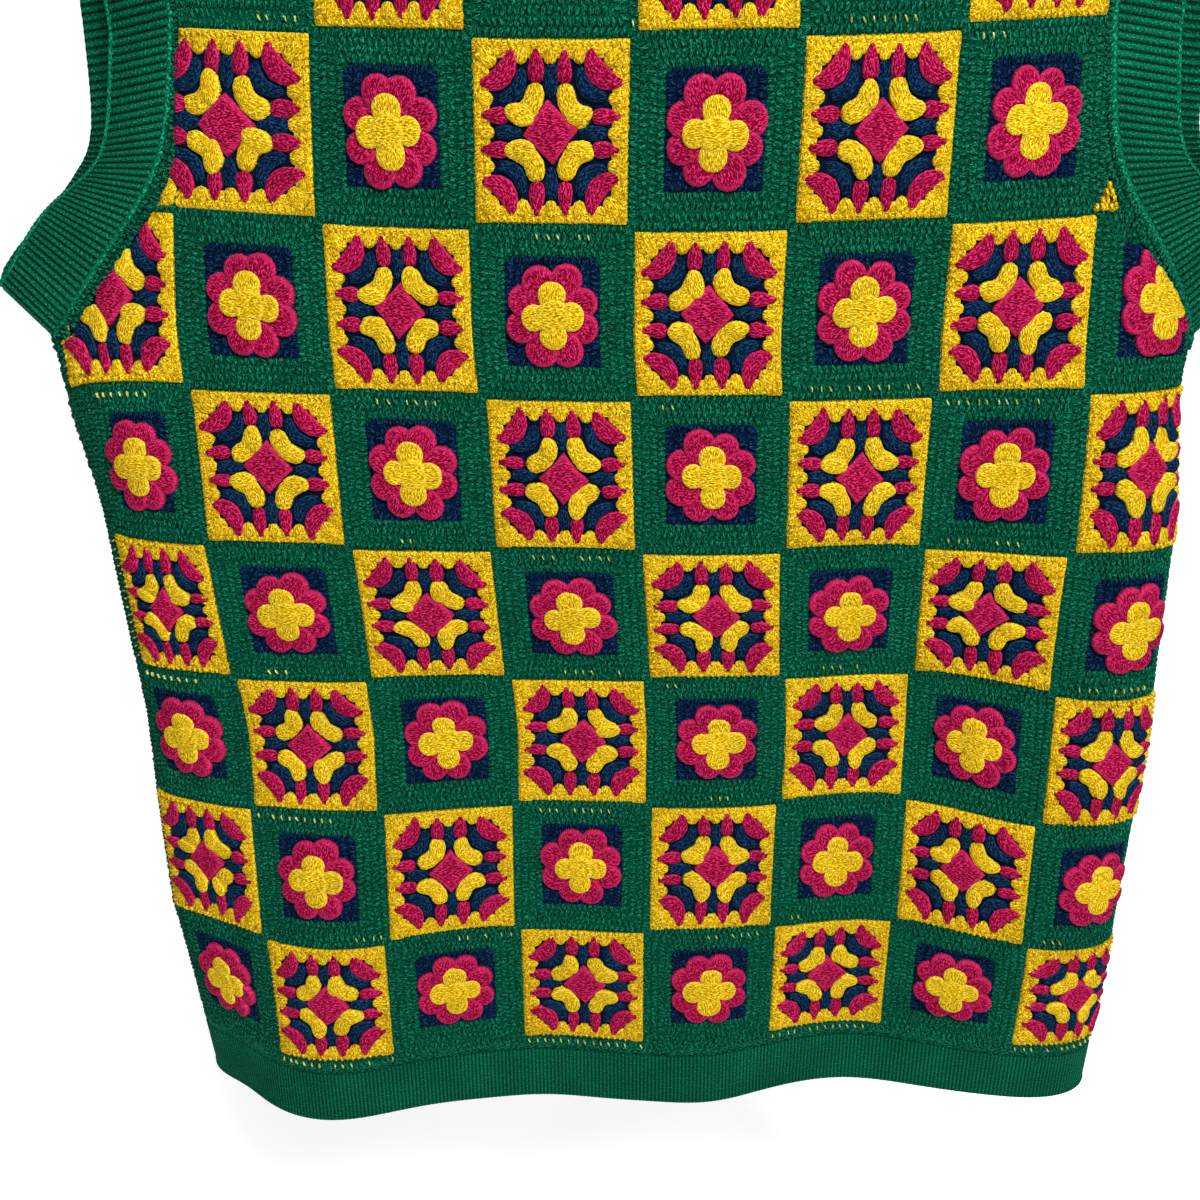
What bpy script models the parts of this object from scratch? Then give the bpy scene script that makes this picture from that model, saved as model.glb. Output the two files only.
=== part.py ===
"""Crochet patchwork vest, filled out and held up at its shoulders, in metres with +Z up.

The cloth is one closed tube: a front and a back panel of crochet squares, sewn at the sides and
shoulders, with ribbed bands at the hem, the armholes and the neck. A place on the cloth is given by
(across, height): millimetres across from the seam at -X, and millimetres of cloth above the hem.
The front looks along -Y. The origin lies between the shoulders, at the level of the neck points.
"""
import math
from collections import namedtuple

import bmesh
import bpy
import numpy as np
from mathutils import Vector
from mathutils.geometry import delaunay_2d_cdt

# ---- driving dimensions, in millimetres ----
MM = 0.001
COLUMNS = 8
CELL_WIDTH = 66.0
CELL_HEIGHT = 71.3
PANEL_WIDTH = COLUMNS * CELL_WIDTH
SIDE_STRIP = 5.0            # plain edge beyond the outermost squares, at each side seam
HEM_RIB = 30.0
HEM_STRIP = 8.0             # plain rows between the rib and the lowest squares
UNDERARM = 418.0            # cloth height where the armholes start
SHOULDER_TIP_Z = 657.0      # height of the armhole end of the shoulder seam above the hem
NECK_POINT_Z = 685.0        # height of its neck end
SHOULDER_RADIUS = 50.0      # height of the arch from front to back over the shoulder
SHOULDER_ARC = 64.0         # cloth along half of that arch
SHOULDER_Y = 39.0
ARMHOLE_DEPTH_CLOTH = 66.0  # height of the slanted foot of the armhole
FRONT_ARMHOLE = 0.95        # column where the armhole's upright edge runs, front and back
BACK_ARMHOLE = 0.72
SHOULDER_END = 0.86         # column of the shoulder tip
NECK_HALF = 1.55            # half width of the neckline, in columns
FRONT_NECK = 568.0          # cloth height of the neckline's lowest point
BACK_NECK = 668.0
WALL = 2.5
SEAM_GAP = 0.3
NECK_GAP = 0.8
ARMHOLE_RIB = 30.5
NECK_RIB = 26.0
FRONT_BAND_LEAN = 0.26      # how much the armhole bands turn inwards, on the front and the back
BACK_BAND_LEAN = -0.10
ARMHOLE_RIB_PITCH = 4.2
HEM_RIB_PITCH = 4.0
RIB_RELIEF = 0.6            # a rib stands this far out of the band, and its groove as far in
PINK_RELIEF = 1.5           # the flower's lower layer above the square
YELLOW_RELIEF = 3.0         # and its upper one

# Horizontal sections of the front, from hem to shoulder: place and depth at the middle, how far the
# cloth turns towards the side seams (degrees), bulge, how much higher than its cloth height it hangs,
# how much lower it hangs right beside the seams, and the depth of the back.
Section = namedtuple(
    "Section", "height mid_x mid_y turn_left turn_right bulge lift_left lift_mid lift_right"
    " drop_left drop_right back_y")
SECTIONS = (
    Section(0.0, 3, -23, 58, 85, 7, 4, 17, 0, 0, 0, 50),
    Section(110.0, 4, -18, 56, 92, -8, 11, 12, -7, 0, 0, 46),
    Section(220.0, 6, -7, 64, 81, -14, 10, 9, -10, 0, 0, 52),
    Section(330.0, 1, -15, 65, 87, -7, 8, 0, -6, 0, 0, 52),
    Section(385.0, 0, -14, 40, 92, 3, 10, -1, -2, 11, 0, 56),
    Section(420.0, -2, -13, 28, 66, 11, 11, -2, 2, 8, 10, 58),
    Section(470.0, -1, -14, 60, 88, 26, 14, -2, 5, 0, 0, 59),
    Section(540.0, 1, -15, 71, 83, 51, 18, -1, 9, 0, 0, 59),
    Section(700.0, 1, -5, 71, 83, 30, 18, 0, 9, 0, 0, 56),
)
SEAM_DROP_LENGTH = 28.0     # cloth beside a seam over which it hangs lower
SIDE_TURN_LENGTH = 30.0     # cloth over which the front turns into the side, and the back
BACK_TURN_LENGTH = 24.0

# Long soft folds: column at the height of the chest and at the hem, height where the fold starts and
# where it is full, half width and depth in millimetres; a ridge has a negative depth on the front.
Fold = namedtuple("Fold", "chest_col hem_col starts full width depth")
FRONT_FOLDS = (
    Fold(2.5, 1.4, 345, 49, 49, -17),
    Fold(6.2, 6.0, 497, 221, 74, 28),
    Fold(7.8, 6.3, 393, 132, 42, -7),
    Fold(4.1, 4.5, 148, -30, 28, -4),
    Fold(3.3, 3.2, 232, 12, 33, 4),
    Fold(0.5, 0.4, 268, 67, 26, 5),
)
BACK_FOLDS = (
    Fold(1.9, 2.3, 420, 120, 52, 13),
    Fold(3.6, 3.9, 330, 60, 44, -12),
    Fold(5.4, 5.2, 380, 90, 48, 14),
    Fold(6.7, 6.8, 240, 30, 34, -8),
)
CHEST_HEIGHT = 540.0
EDGE_FADE = 40.0            # cloth over which the back is drawn onto the side seams
SEAM_FADE = 12.0            # cloth beside a side seam over which the walls turn to face each other
SHOULDER_FADE = 4.0         # and below a shoulder seam

LINE = np.linspace(-SIDE_STRIP, PANEL_WIDTH + SIDE_STRIP, 135)
LINE_STEP = LINE[1] - LINE[0]
FRONT, BACK = "front", "back"

# Flower: radii of the petals and of the notches between them, as parts of a square.
PINK_PETALS, PINK_TIP, PINK_NOTCH = 8, 0.31, 0.255
YELLOW_PETALS, YELLOW_TIP, YELLOW_NOTCH = 4, 0.205, 0.125
PETAL_SHOULDER = 0.84       # size of a layer's raised top to its foot
GRID_ACROSS = CELL_WIDTH / 3
GRID_UP = CELL_HEIGHT / 2
OUTLINE_STEP = 16.5

GREEN = (0.010, 0.075, 0.042)


# ---- the cloth's surface ----
def smooth_step(value):
    value = min(max(value, 0.0), 1.0)
    return value * value * (3.0 - 2.0 * value)


def section_at(height):
    """The section table read at one height."""
    heights = [row.height for row in SECTIONS]
    return Section(*[np.interp(height, heights, [row[i] for row in SECTIONS])
                     for i in range(len(Section._fields))])


def fold_slope(folds, height):
    """Slope of all the folds along the section at one height."""
    slope = np.zeros_like(LINE)
    for fold in folds:
        column = fold.hem_col + (fold.chest_col - fold.hem_col) * height / CHEST_HEIGHT
        strength = smooth_step((fold.starts - height) / (fold.starts - fold.full))
        part = (LINE - column * CELL_WIDTH) / fold.width
        slope -= fold.depth * strength * np.exp(-part * part) * 2.0 * part / fold.width
    return slope


def walk(angles):
    """X and Y along a line of cloth that heads in the given directions, from its middle."""
    middle = len(angles) // 2
    line = []
    for part in (np.cos(angles), np.sin(angles)):
        steps = (part[1:] + part[:-1]) * 0.5 * LINE_STEP
        places = np.concatenate([[0.0], np.cumsum(steps)])
        line.append(places - places[middle])
    return line


_lines = {}


def cloth_line(side, height):
    """X, Y and lift along one side's cloth at a height."""
    key = (side, round(height, 3))
    if key in _lines:
        return _lines[key]
    row = section_at(height)
    part = LINE / PANEL_WIDTH
    from_left, from_right = LINE, PANEL_WIDTH - LINE
    bulge = row.bulge * math.pi / PANEL_WIDTH * np.cos(math.pi * part)
    if side == FRONT:
        angles = (-math.radians(row.turn_left) * np.exp(-from_left / SIDE_TURN_LENGTH)
                  + math.radians(row.turn_right) * np.exp(-from_right / SIDE_TURN_LENGTH)
                  - bulge + fold_slope(FRONT_FOLDS, height))
        x, y = walk(angles)
        x, y = x + row.mid_x, y + row.mid_y
        lift = (row.lift_left * (1 - part) * (1 - 2 * part) + 4 * row.lift_mid * part * (1 - part)
                + row.lift_right * part * (2 * part - 1)
                - row.drop_left * np.exp(-from_left / SEAM_DROP_LENGTH)
                - row.drop_right * np.exp(-from_right / SEAM_DROP_LENGTH))
    else:
        angles = (math.radians(180 - row.turn_left) * np.exp(-from_left / BACK_TURN_LENGTH)
                  - math.radians(180 - row.turn_right) * np.exp(-from_right / BACK_TURN_LENGTH)
                  + fold_slope(BACK_FOLDS, height))
        x, y = walk(angles)
        x, y = x + row.mid_x, y + row.back_y
        front_x, front_y, front_lift = cloth_line(FRONT, height)
        drawn = 1.0 - smooth_step((height - UNDERARM) / ARMHOLE_DEPTH_CLOTH)
        near_left = np.exp(-(from_left + SIDE_STRIP) / EDGE_FADE) * drawn
        near_right = np.exp(-(from_right + SIDE_STRIP) / EDGE_FADE) * drawn
        x = x + near_left * (front_x[0] - x[0]) + near_right * (front_x[-1] - x[-1])
        y = y + near_left * (front_y[0] - y[0]) + near_right * (front_y[-1] - y[-1])
        lift = front_lift[0] * (1 - part) + front_lift[-1] * part
    _lines[key] = (x, y, lift)
    return _lines[key]


def shoulder_z(column):
    """Height of the shoulder seam over a column, above the hem."""
    part = (abs(column - COLUMNS / 2) - NECK_HALF) / (COLUMNS / 2 - SHOULDER_END - NECK_HALF)
    return NECK_POINT_Z + (SHOULDER_TIP_Z - NECK_POINT_Z) * part


def shoulder_cloth(column):
    """Cloth height of the shoulder seam over a column."""
    return shoulder_z(column) - SHOULDER_RADIUS + SHOULDER_ARC


def cloth_point(side, across, height):
    """A place on the cloth's outer face, in millimetres from the origin."""
    x_line, y_line, lift_line = cloth_line(side, height)
    x = np.interp(across, LINE, x_line)
    y = np.interp(across, LINE, y_line)
    lift = np.interp(across, LINE, lift_line)
    column = across / CELL_WIDTH
    arch_foot = shoulder_z(column) - SHOULDER_RADIUS
    if height <= arch_foot:
        return Vector((x, y, height + lift - NECK_POINT_Z))
    turn = min((height - arch_foot) / SHOULDER_ARC, 1.0) * math.pi / 2
    rise, level = math.sin(turn), math.cos(turn)
    seam_x = (column - COLUMNS / 2) * CELL_WIDTH
    x += (seam_x - x) * rise * rise
    y = SHOULDER_Y + (y - SHOULDER_Y) * level
    return Vector((x, y, arch_foot + SHOULDER_RADIUS * rise + lift * level * level - NECK_POINT_Z))


def cloth_normal(side, across, height):
    """The direction that points straight out of one side's cloth."""
    step = 1.0
    along = cloth_point(side, across + step, height) - cloth_point(side, across - step, height)
    up = cloth_point(side, across, height) - cloth_point(side, across, height - step)
    outward = along.cross(up) if side == FRONT else up.cross(along)
    return outward.normalized()


def cloth_place(side, across, height, out):
    """A place moved out of the cloth's face; at a seam both panels share one direction."""
    outward = cloth_normal(side, across, height)
    below_shoulder = shoulder_cloth(across / CELL_WIDTH) - height
    outward.y *= 1.0 - math.exp(-max(below_shoulder, 0.0) / SHOULDER_FADE)
    outward.normalize()
    to_seam = min(across + SIDE_STRIP, PANEL_WIDTH + SIDE_STRIP - across)
    if to_seam < 3 * SEAM_FADE:
        seam = -SIDE_STRIP + 1.0 if across < PANEL_WIDTH / 2 else PANEL_WIDTH + SIDE_STRIP - 1.0
        shared = (cloth_normal(FRONT, seam, height) + cloth_normal(BACK, seam, height)).normalized()
        outward = outward.lerp(shared, math.exp(-max(to_seam, 0.0) / SEAM_FADE)).normalized()
    return (cloth_point(side, across, height) + outward * out) * MM


# ---- outlines in the plane of the cloth ----
def armhole_column(side, height):
    """Column of the armhole's edge at the viewer's left, from the underarm up."""
    full = FRONT_ARMHOLE if side == FRONT else BACK_ARMHOLE
    part = (height - UNDERARM) / ARMHOLE_DEPTH_CLOTH
    sharpness = 6
    column = full * part / (1 + part ** sharpness) ** (1 / sharpness)
    near_top = smooth_step((height - CHEST_HEIGHT) / (SHOULDER_TIP_Z - CHEST_HEIGHT))
    return column + (SHOULDER_END - full) * near_top


def armhole_edge(side):
    """Points of the left armhole's edge, from the side seam to the shoulder tip."""
    top = shoulder_cloth(SHOULDER_END) - SEAM_GAP / 2
    heights = [UNDERARM]
    while heights[-1] < top - 1.5 * ARMHOLE_RIB_PITCH:
        slanted = heights[-1] < UNDERARM + ARMHOLE_DEPTH_CLOTH
        heights.append(heights[-1] + ARMHOLE_RIB_PITCH * (1.4 if slanted else 2.0))
    heights[-1] = top
    edge = [(armhole_column(side, h) * CELL_WIDTH, h) for h in heights]
    edge[0] = (-SIDE_STRIP + SEAM_GAP / 2, UNDERARM)
    return edge


def neck_edge(side):
    """Points of the neckline from the left neck point to the right one."""
    low = FRONT_NECK if side == FRONT else BACK_NECK
    top = shoulder_cloth(COLUMNS / 2 - NECK_HALF) - SEAM_GAP / 2
    steps = 40 if side == FRONT else 28
    edge = []
    for i in range(steps + 1):
        turn = math.pi * i / steps
        column = COLUMNS / 2 - NECK_HALF * math.cos(turn)
        edge.append((column * CELL_WIDTH, top - (top - low) * math.sin(turn) ** 0.9))
    return edge


def mirrored(points):
    """The same points at the other side of the panel, in the opposite order."""
    return [(PANEL_WIDTH - across, height) for across, height in reversed(points)]


def filled_in(points, step):
    """A line of points with more between them, no further apart than a step."""
    result = [points[0]]
    for (a0, h0), (a1, h1) in zip(points, points[1:]):
        count = max(1, math.ceil(math.hypot(a1 - a0, h1 - h0) / step))
        result += [(a0 + (a1 - a0) * i / count, h0 + (h1 - h0) * i / count) for i in range(1, count + 1)]
    return result


def panel_outline(side):
    """The closed edge of a panel, counter-clockwise seen from its outer face on the front."""
    left, right = -SIDE_STRIP + SEAM_GAP / 2, PANEL_WIDTH + SIDE_STRIP - SEAM_GAP / 2
    hem = filled_in([(left, HEM_RIB), (right, HEM_RIB)], OUTLINE_STEP)
    right_side = filled_in([(right, HEM_RIB), (right, UNDERARM)], OUTLINE_STEP)
    left_armhole = armhole_edge(side)
    right_armhole = mirrored(left_armhole)[::-1]
    neck = neck_edge(side)
    right_shoulder = filled_in([right_armhole[-1], neck[-1]], OUTLINE_STEP)
    left_shoulder = filled_in([neck[0], left_armhole[-1]], OUTLINE_STEP)
    left_side = filled_in([(left, UNDERARM), (left, HEM_RIB)], OUTLINE_STEP)
    runs = (hem, right_side, right_armhole, right_shoulder, neck[::-1], left_shoulder,
            left_armhole[::-1], left_side)
    return [point for run in runs for point in run[:-1]]


def inside(point, outline, margin):
    """Whether a point lies within an outline and at least a margin from its edge."""
    x, y = point
    hit = False
    nearest = 1e9
    for (x0, y0), (x1, y1) in zip(outline, outline[1:] + outline[:1]):
        if (y0 > y) != (y1 > y) and x < x0 + (y - y0) / (y1 - y0) * (x1 - x0):
            hit = not hit
        run = (x1 - x0) ** 2 + (y1 - y0) ** 2
        part = min(max(((x - x0) * (x1 - x0) + (y - y0) * (y1 - y0)) / run, 0.0), 1.0)
        nearest = min(nearest, math.hypot(x0 + part * (x1 - x0) - x, y0 + part * (y1 - y0) - y))
    return hit and nearest >= margin


# ---- squares and flowers ----
def petal_ring(centre, petals, tip, notch, size):
    """A ring of points that goes from petal tip to notch and back around a flower."""
    ring = []
    for i in range(2 * petals):
        radius = (notch if i % 2 else tip) * size
        turn = math.pi * (i + 1) / petals
        ring.append((centre[0] + radius * CELL_WIDTH * math.sin(turn),
                     centre[1] + radius * CELL_HEIGHT * math.cos(turn)))
    return ring


def flower_centres(side, outline):
    """Centres of the flower squares that lie whole within a panel."""
    centres = []
    for row in range(9):
        for column in range(COLUMNS):
            if (row + column) % 2 != (0 if side == FRONT else 1):
                continue
            centre = ((column + 0.5) * CELL_WIDTH, HEM_RIB + HEM_STRIP + (row + 0.5) * CELL_HEIGHT)
            ring = petal_ring(centre, PINK_PETALS, PINK_TIP, PINK_NOTCH, 1.0)
            if all(inside(point, outline, 3.0) for point in ring):
                centres.append(centre)
    return centres


def flower_layers(centre):
    """Rings of a flower with how far each stands out of the square."""
    pink = (PINK_PETALS, PINK_TIP, PINK_NOTCH)
    yellow = (YELLOW_PETALS, YELLOW_TIP, YELLOW_NOTCH)
    return (
        (petal_ring(centre, *pink, 1.0), 0.0),
        (petal_ring(centre, *pink, PETAL_SHOULDER), PINK_RELIEF),
        (petal_ring(centre, *yellow, 1.0), PINK_RELIEF),
        (petal_ring(centre, *yellow, PETAL_SHOULDER), YELLOW_RELIEF),
    )


def grid_points(outline, centres, rows_apart):
    """Points of an even grid within a panel that keep clear of its edge and of the flowers."""
    points = []
    levels = int((SHOULDER_TIP_Z + SHOULDER_RADIUS) / GRID_UP)
    for level in range(levels):
        height = HEM_RIB + HEM_STRIP + level * GRID_UP
        on_arch = height > SHOULDER_TIP_Z - SHOULDER_RADIUS
        if level % rows_apart and not on_arch:
            continue
        for step in range(3 * COLUMNS + 1):
            point = (step * GRID_ACROSS, height)
            clear = all(math.hypot((point[0] - c[0]) / CELL_WIDTH, (point[1] - c[1]) / CELL_HEIGHT)
                        > PINK_TIP + 0.07 for c in centres)
            if clear and inside(point, outline, 6.0):
                points.append(point)
    return points


# ---- meshes ----
def material(name, colour):
    made = bpy.data.materials.new(name)
    made.use_nodes = True
    shader = made.node_tree.nodes["Principled BSDF"]
    shader.inputs["Base Color"].default_value = (*colour, 1.0)
    shader.inputs["Roughness"].default_value = 0.95
    shader.inputs["Metallic"].default_value = 0.0
    return made


def finish(name, mesh_data, surface, collection):
    """Turn a bmesh into a named object with its faces pointing out."""
    bmesh.ops.recalc_face_normals(mesh_data, faces=mesh_data.faces)
    if mesh_data.calc_volume(signed=True) < 0:
        bmesh.ops.reverse_faces(mesh_data, faces=mesh_data.faces)
    mesh = bpy.data.meshes.new(name)
    mesh_data.to_mesh(mesh)
    mesh_data.free()
    mesh.materials.append(surface)
    thing = bpy.data.objects.new(name, mesh)
    collection.objects.link(thing)
    return thing


def triangles(points, rings):
    """Triangulate points in the plane of the cloth, keeping the edges of closed rings."""
    edges = []
    for first, count in rings:
        edges += [(first + i, first + (i + 1) % count) for i in range(count)]
    result = delaunay_2d_cdt([Vector(point) for point in points], edges, [], 1, 1e-5)
    if len(result[0]) != len(points):
        raise ValueError("points of the cloth coincide")
    origins = [old[0] for old in result[3]]
    return [[origins[i] for i in face] for face in result[2]]


def panel(side, surface, collection):
    """A panel of crochet squares: raised flowers outside, plain inside."""
    outline = panel_outline(side)
    centres = flower_centres(side, outline)
    outer, reliefs, rings = list(outline), [0.0] * len(outline), [(0, len(outline))]
    for centre in centres:
        for ring, relief in flower_layers(centre):
            rings.append((len(outer), len(ring)))
            outer += ring
            reliefs += [relief] * len(ring)
        outer.append(centre)
        reliefs.append(YELLOW_RELIEF)
    grid = grid_points(outline, centres, 1)
    outer += grid
    reliefs += [0.0] * len(grid)
    inner = outline + grid_points(outline, [], 2)

    cloth = bmesh.new()
    outer_verts = [cloth.verts.new(cloth_place(side, *point, relief))
                   for point, relief in zip(outer, reliefs)]
    inner_verts = [cloth.verts.new(cloth_place(side, *point, -WALL)) for point in inner]
    for face in triangles(outer, rings):
        cloth.faces.new([outer_verts[i] for i in face])
    for face in triangles(inner, [(0, len(outline))]):
        cloth.faces.new([inner_verts[i] for i in reversed(face)])
    for i in range(len(outline)):
        j = (i + 1) % len(outline)
        cloth.faces.new([outer_verts[i], inner_verts[i], inner_verts[j]])
        cloth.faces.new([outer_verts[i], inner_verts[j], outer_verts[j]])
    return finish(f"{side}_panel", cloth, surface, collection)


def ribbed_band(name, rails, closed, surface, collection):
    """A ribbed band between two rails; rails(i) gives the places and the outward direction at column i.

    Each rib has one raised and one sunk column outside. The plain inside has one column in four.
    """
    columns = rails.count
    cloth = bmesh.new()
    outer, inner = [], []
    for i in range(columns):
        low, high, outward = rails(i)
        relief = RIB_RELIEF if i % 2 else -RIB_RELIEF
        outer.append([cloth.verts.new((place + outward * relief) * MM) for place in (low, high)])
        if i % 4 == 0 or (not closed and i == columns - 1):
            inner.append([cloth.verts.new((place - outward * WALL) * MM) for place in (low, high)])
    groups = len(inner) if closed else len(inner) - 1
    for group in range(groups):
        near, far = inner[group], inner[(group + 1) % len(inner)]
        first = 4 * group
        last = min(first + 4, columns if closed else columns - 1)
        cloth.faces.new([near[0], near[1], far[1], far[0]])
        for i in range(first, last):
            j = (i + 1) % columns
            cloth.faces.new([outer[i][0], outer[j][0], outer[j][1], outer[i][1]])
            side = near if i < first + 2 else far
            for edge in (0, 1):
                cloth.faces.new([outer[i][edge], side[edge], outer[j][edge]])
            if i == min(first + 2, last - 1):
                pivot = i if i == first + 2 else j
                for edge in (0, 1):
                    cloth.faces.new([outer[pivot][edge], near[edge], far[edge]])
    if not closed:
        for end in (0, -1):
            cloth.faces.new([outer[end][0], outer[end][1], inner[end][1], inner[end][0]])
    bmesh.ops.triangulate(cloth, faces=[face for face in cloth.faces if len(face.verts) > 3])
    return finish(name, cloth, surface, collection)


class HemRails:
    """Rails of one half of the hem rib, along the lower edge of a panel."""

    def __init__(self, side):
        self.side = side
        width = PANEL_WIDTH + 2 * SIDE_STRIP - SEAM_GAP
        ribs = 2 * round(width / HEM_RIB_PITCH / 2)
        self.count = 2 * ribs + 1
        self.left = -SIDE_STRIP + SEAM_GAP / 2
        self.step = width / (self.count - 1)

    def __call__(self, i):
        across = self.left + i * self.step
        low = cloth_point(self.side, across, 0.0)
        high = cloth_point(self.side, across, HEM_RIB - SEAM_GAP)
        outward = cloth_place(self.side, across, HEM_RIB / 2, 1.0) / MM
        return low, high, outward - cloth_point(self.side, across, HEM_RIB / 2)


class EdgeRails:
    """Rails of a closed band sewn to a ring of edge places, which runs on into the opening."""

    def __init__(self, ring, directions, width, pitch, gap):
        lengths = [0.0]
        for a, b in zip(ring, ring[1:] + ring[:1]):
            lengths.append(lengths[-1] + (b - a).length)
        self.ring, self.directions, self.lengths, self.width = ring, directions, lengths, width
        self.gap = gap
        self.count = 4 * round(lengths[-1] / pitch / 2)

    def read(self, places, i):
        """A list of places around the ring, read at column i."""
        at = (i % self.count) / self.count * self.lengths[-1]
        k = max(j for j in range(len(self.ring)) if self.lengths[j] <= at)
        part = (at - self.lengths[k]) / (self.lengths[k + 1] - self.lengths[k])
        return places[k].lerp(places[(k + 1) % len(places)], part)

    def __call__(self, i):
        direction = self.read(self.directions, i).normalized()
        edge = self.read(self.ring, i)
        along = self.read(self.ring, i + 2) - self.read(self.ring, i - 2)
        low = edge + direction * self.gap
        return low, edge + direction * self.width, along.cross(direction).normalized()


def armhole_direction(side, height):
    """Which way the left armhole's band runs from its seam: out, and up near the underarm."""
    near_underarm = 1.0 - smooth_step((height - UNDERARM) / (1.3 * ARMHOLE_DEPTH_CLOTH))
    near_shoulder = smooth_step((height - CHEST_HEIGHT) / (SHOULDER_TIP_Z - CHEST_HEIGHT))
    upward = math.radians(48.0 * near_underarm - 8.0 * (1 - near_underarm))
    lean = FRONT_BAND_LEAN if side == FRONT else BACK_BAND_LEAN
    lean *= (1 - near_underarm) * (1 - near_shoulder)
    return Vector((-math.cos(upward), lean, math.sin(upward)))


def armhole_rails(at_left):
    """The band around one armhole, from the underarm up the front and down the back."""
    front_edge, back_edge = armhole_edge(FRONT), armhole_edge(BACK)
    ring, directions = [], []
    for side, edge in ((FRONT, front_edge), (BACK, back_edge[::-1][1:-1])):
        for across, height in edge:
            place = across if at_left else PANEL_WIDTH - across
            ring.append(cloth_point(side, place, height))
            direction = armhole_direction(side, height)
            directions.append(direction if at_left else Vector((-direction.x, direction.y, direction.z)))
    if not at_left:
        ring, directions = ring[::-1], directions[::-1]
    return EdgeRails(ring, directions, ARMHOLE_RIB, ARMHOLE_RIB_PITCH, SEAM_GAP)


def neck_rails():
    """The band around the neck, which runs on from the cloth and stands up a little at the shoulders."""
    ring, outwards = [], []
    for side, edge in ((FRONT, neck_edge(FRONT)), (BACK, neck_edge(BACK)[::-1][1:-1])):
        for across, height in edge:
            place = cloth_point(side, across, height)
            ring.append(place)
            outwards.append(cloth_place(side, across, height, 1.0) / MM - place)
    directions = []
    for i, outward in enumerate(outwards):
        along = ring[(i + 2) % len(ring)] - ring[i - 2]
        inward = outward.cross(along).normalized()
        directions.append((inward + outward * (0.5 * outward.z - 0.15)).normalized())
    return EdgeRails(ring, directions, NECK_RIB, ARMHOLE_RIB_PITCH, NECK_GAP)


def main():
    for old in list(bpy.data.objects):
        bpy.data.objects.remove(old, do_unlink=True)
    vest = bpy.data.collections.new("crochet_vest")
    bpy.context.scene.collection.children.link(vest)
    wool = material("green_wool", GREEN)
    for side in (FRONT, BACK):
        panel(side, wool, vest)
        ribbed_band(f"hem_rib_{side}", HemRails(side), False, wool, vest)
    ribbed_band("armhole_rib_left", armhole_rails(True), True, wool, vest)
    ribbed_band("armhole_rib_right", armhole_rails(False), True, wool, vest)
    ribbed_band("neck_rib", neck_rails(), True, wool, vest)


main()
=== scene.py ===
"""Looks of the crochet patchwork vest: yarn clusters, stitches, ribs, light and camera.

Places on the cloth are given as in the CAD: millimetres across from the seam at -X and millimetres of
cloth above the hem. Everything stays in the CAD's frame, in metres.
"""
import math
import random
from collections import namedtuple
from itertools import product

import bpy
import numpy as np
from mathutils import Matrix, Vector
from mathutils.geometry import delaunay_2d_cdt

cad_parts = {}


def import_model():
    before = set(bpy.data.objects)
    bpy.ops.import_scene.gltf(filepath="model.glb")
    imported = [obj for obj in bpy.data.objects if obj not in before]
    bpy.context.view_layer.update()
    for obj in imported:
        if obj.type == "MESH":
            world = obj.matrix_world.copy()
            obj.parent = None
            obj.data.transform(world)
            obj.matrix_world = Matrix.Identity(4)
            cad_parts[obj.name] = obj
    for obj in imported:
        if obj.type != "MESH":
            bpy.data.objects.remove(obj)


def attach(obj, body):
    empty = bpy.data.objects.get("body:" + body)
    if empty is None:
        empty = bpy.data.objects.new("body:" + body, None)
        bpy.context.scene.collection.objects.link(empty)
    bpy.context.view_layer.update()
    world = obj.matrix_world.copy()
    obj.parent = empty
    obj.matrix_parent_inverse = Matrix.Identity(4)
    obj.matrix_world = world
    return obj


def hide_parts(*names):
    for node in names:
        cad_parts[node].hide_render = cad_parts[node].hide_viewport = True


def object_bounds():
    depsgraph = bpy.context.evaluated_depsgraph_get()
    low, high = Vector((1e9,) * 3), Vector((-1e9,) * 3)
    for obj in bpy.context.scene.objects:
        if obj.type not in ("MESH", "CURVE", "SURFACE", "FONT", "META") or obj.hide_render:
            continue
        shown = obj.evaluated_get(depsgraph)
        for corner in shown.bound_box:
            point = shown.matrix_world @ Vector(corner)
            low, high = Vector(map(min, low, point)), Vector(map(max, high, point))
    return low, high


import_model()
CAD_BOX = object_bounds()

# ---- driving dimensions, in millimetres, as in the CAD ----
MM = 0.001
COLUMNS = 8
SQUARE_ROWS = 10            # rows of squares that the cloth has room for
CELL_WIDTH = 66.0
CELL_HEIGHT = 71.3
PANEL_WIDTH = COLUMNS * CELL_WIDTH
SIDE_STRIP = 5.0
HEM_RIB = 30.0
HEM_STRIP = 8.0
UNDERARM = 418.0
SHOULDER_TIP_Z = 657.0
NECK_POINT_Z = 685.0
SHOULDER_RADIUS = 50.0
SHOULDER_ARC = 64.0
SHOULDER_Y = 39.0
ARMHOLE_DEPTH_CLOTH = 66.0
FRONT_ARMHOLE = 0.95
BACK_ARMHOLE = 0.72
SHOULDER_END = 0.86
NECK_HALF = 1.55
FRONT_NECK = 568.0
BACK_NECK = 668.0
WALL = 2.5
SEAM_GAP = 0.3
ARMHOLE_RIB = 30.5
NECK_RIB = 26.0
NECK_GAP = 0.8
FRONT_BAND_LEAN = 0.26
BACK_BAND_LEAN = -0.10
BAND_RISE = 48.0, -8.0      # degrees that the armholes' bands rise by near the underarm, and higher up
NECK_LEAN = 0.5, -0.15      # how far the neck's band leans out, for cloth that faces up, and for all of it
ARMHOLE_RIB_PITCH = 4.2
BAND_RIB_PITCH = 3.5        # the bands' ribs as knitted, finer than the solids' ribs
HEM_RIB_PITCH = 2.0         # the hem's ribs as knitted, finer than the solids' ribs
HEM_RIB_RELIEF = 0.28
RIB_RELIEF = 0.6

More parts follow.
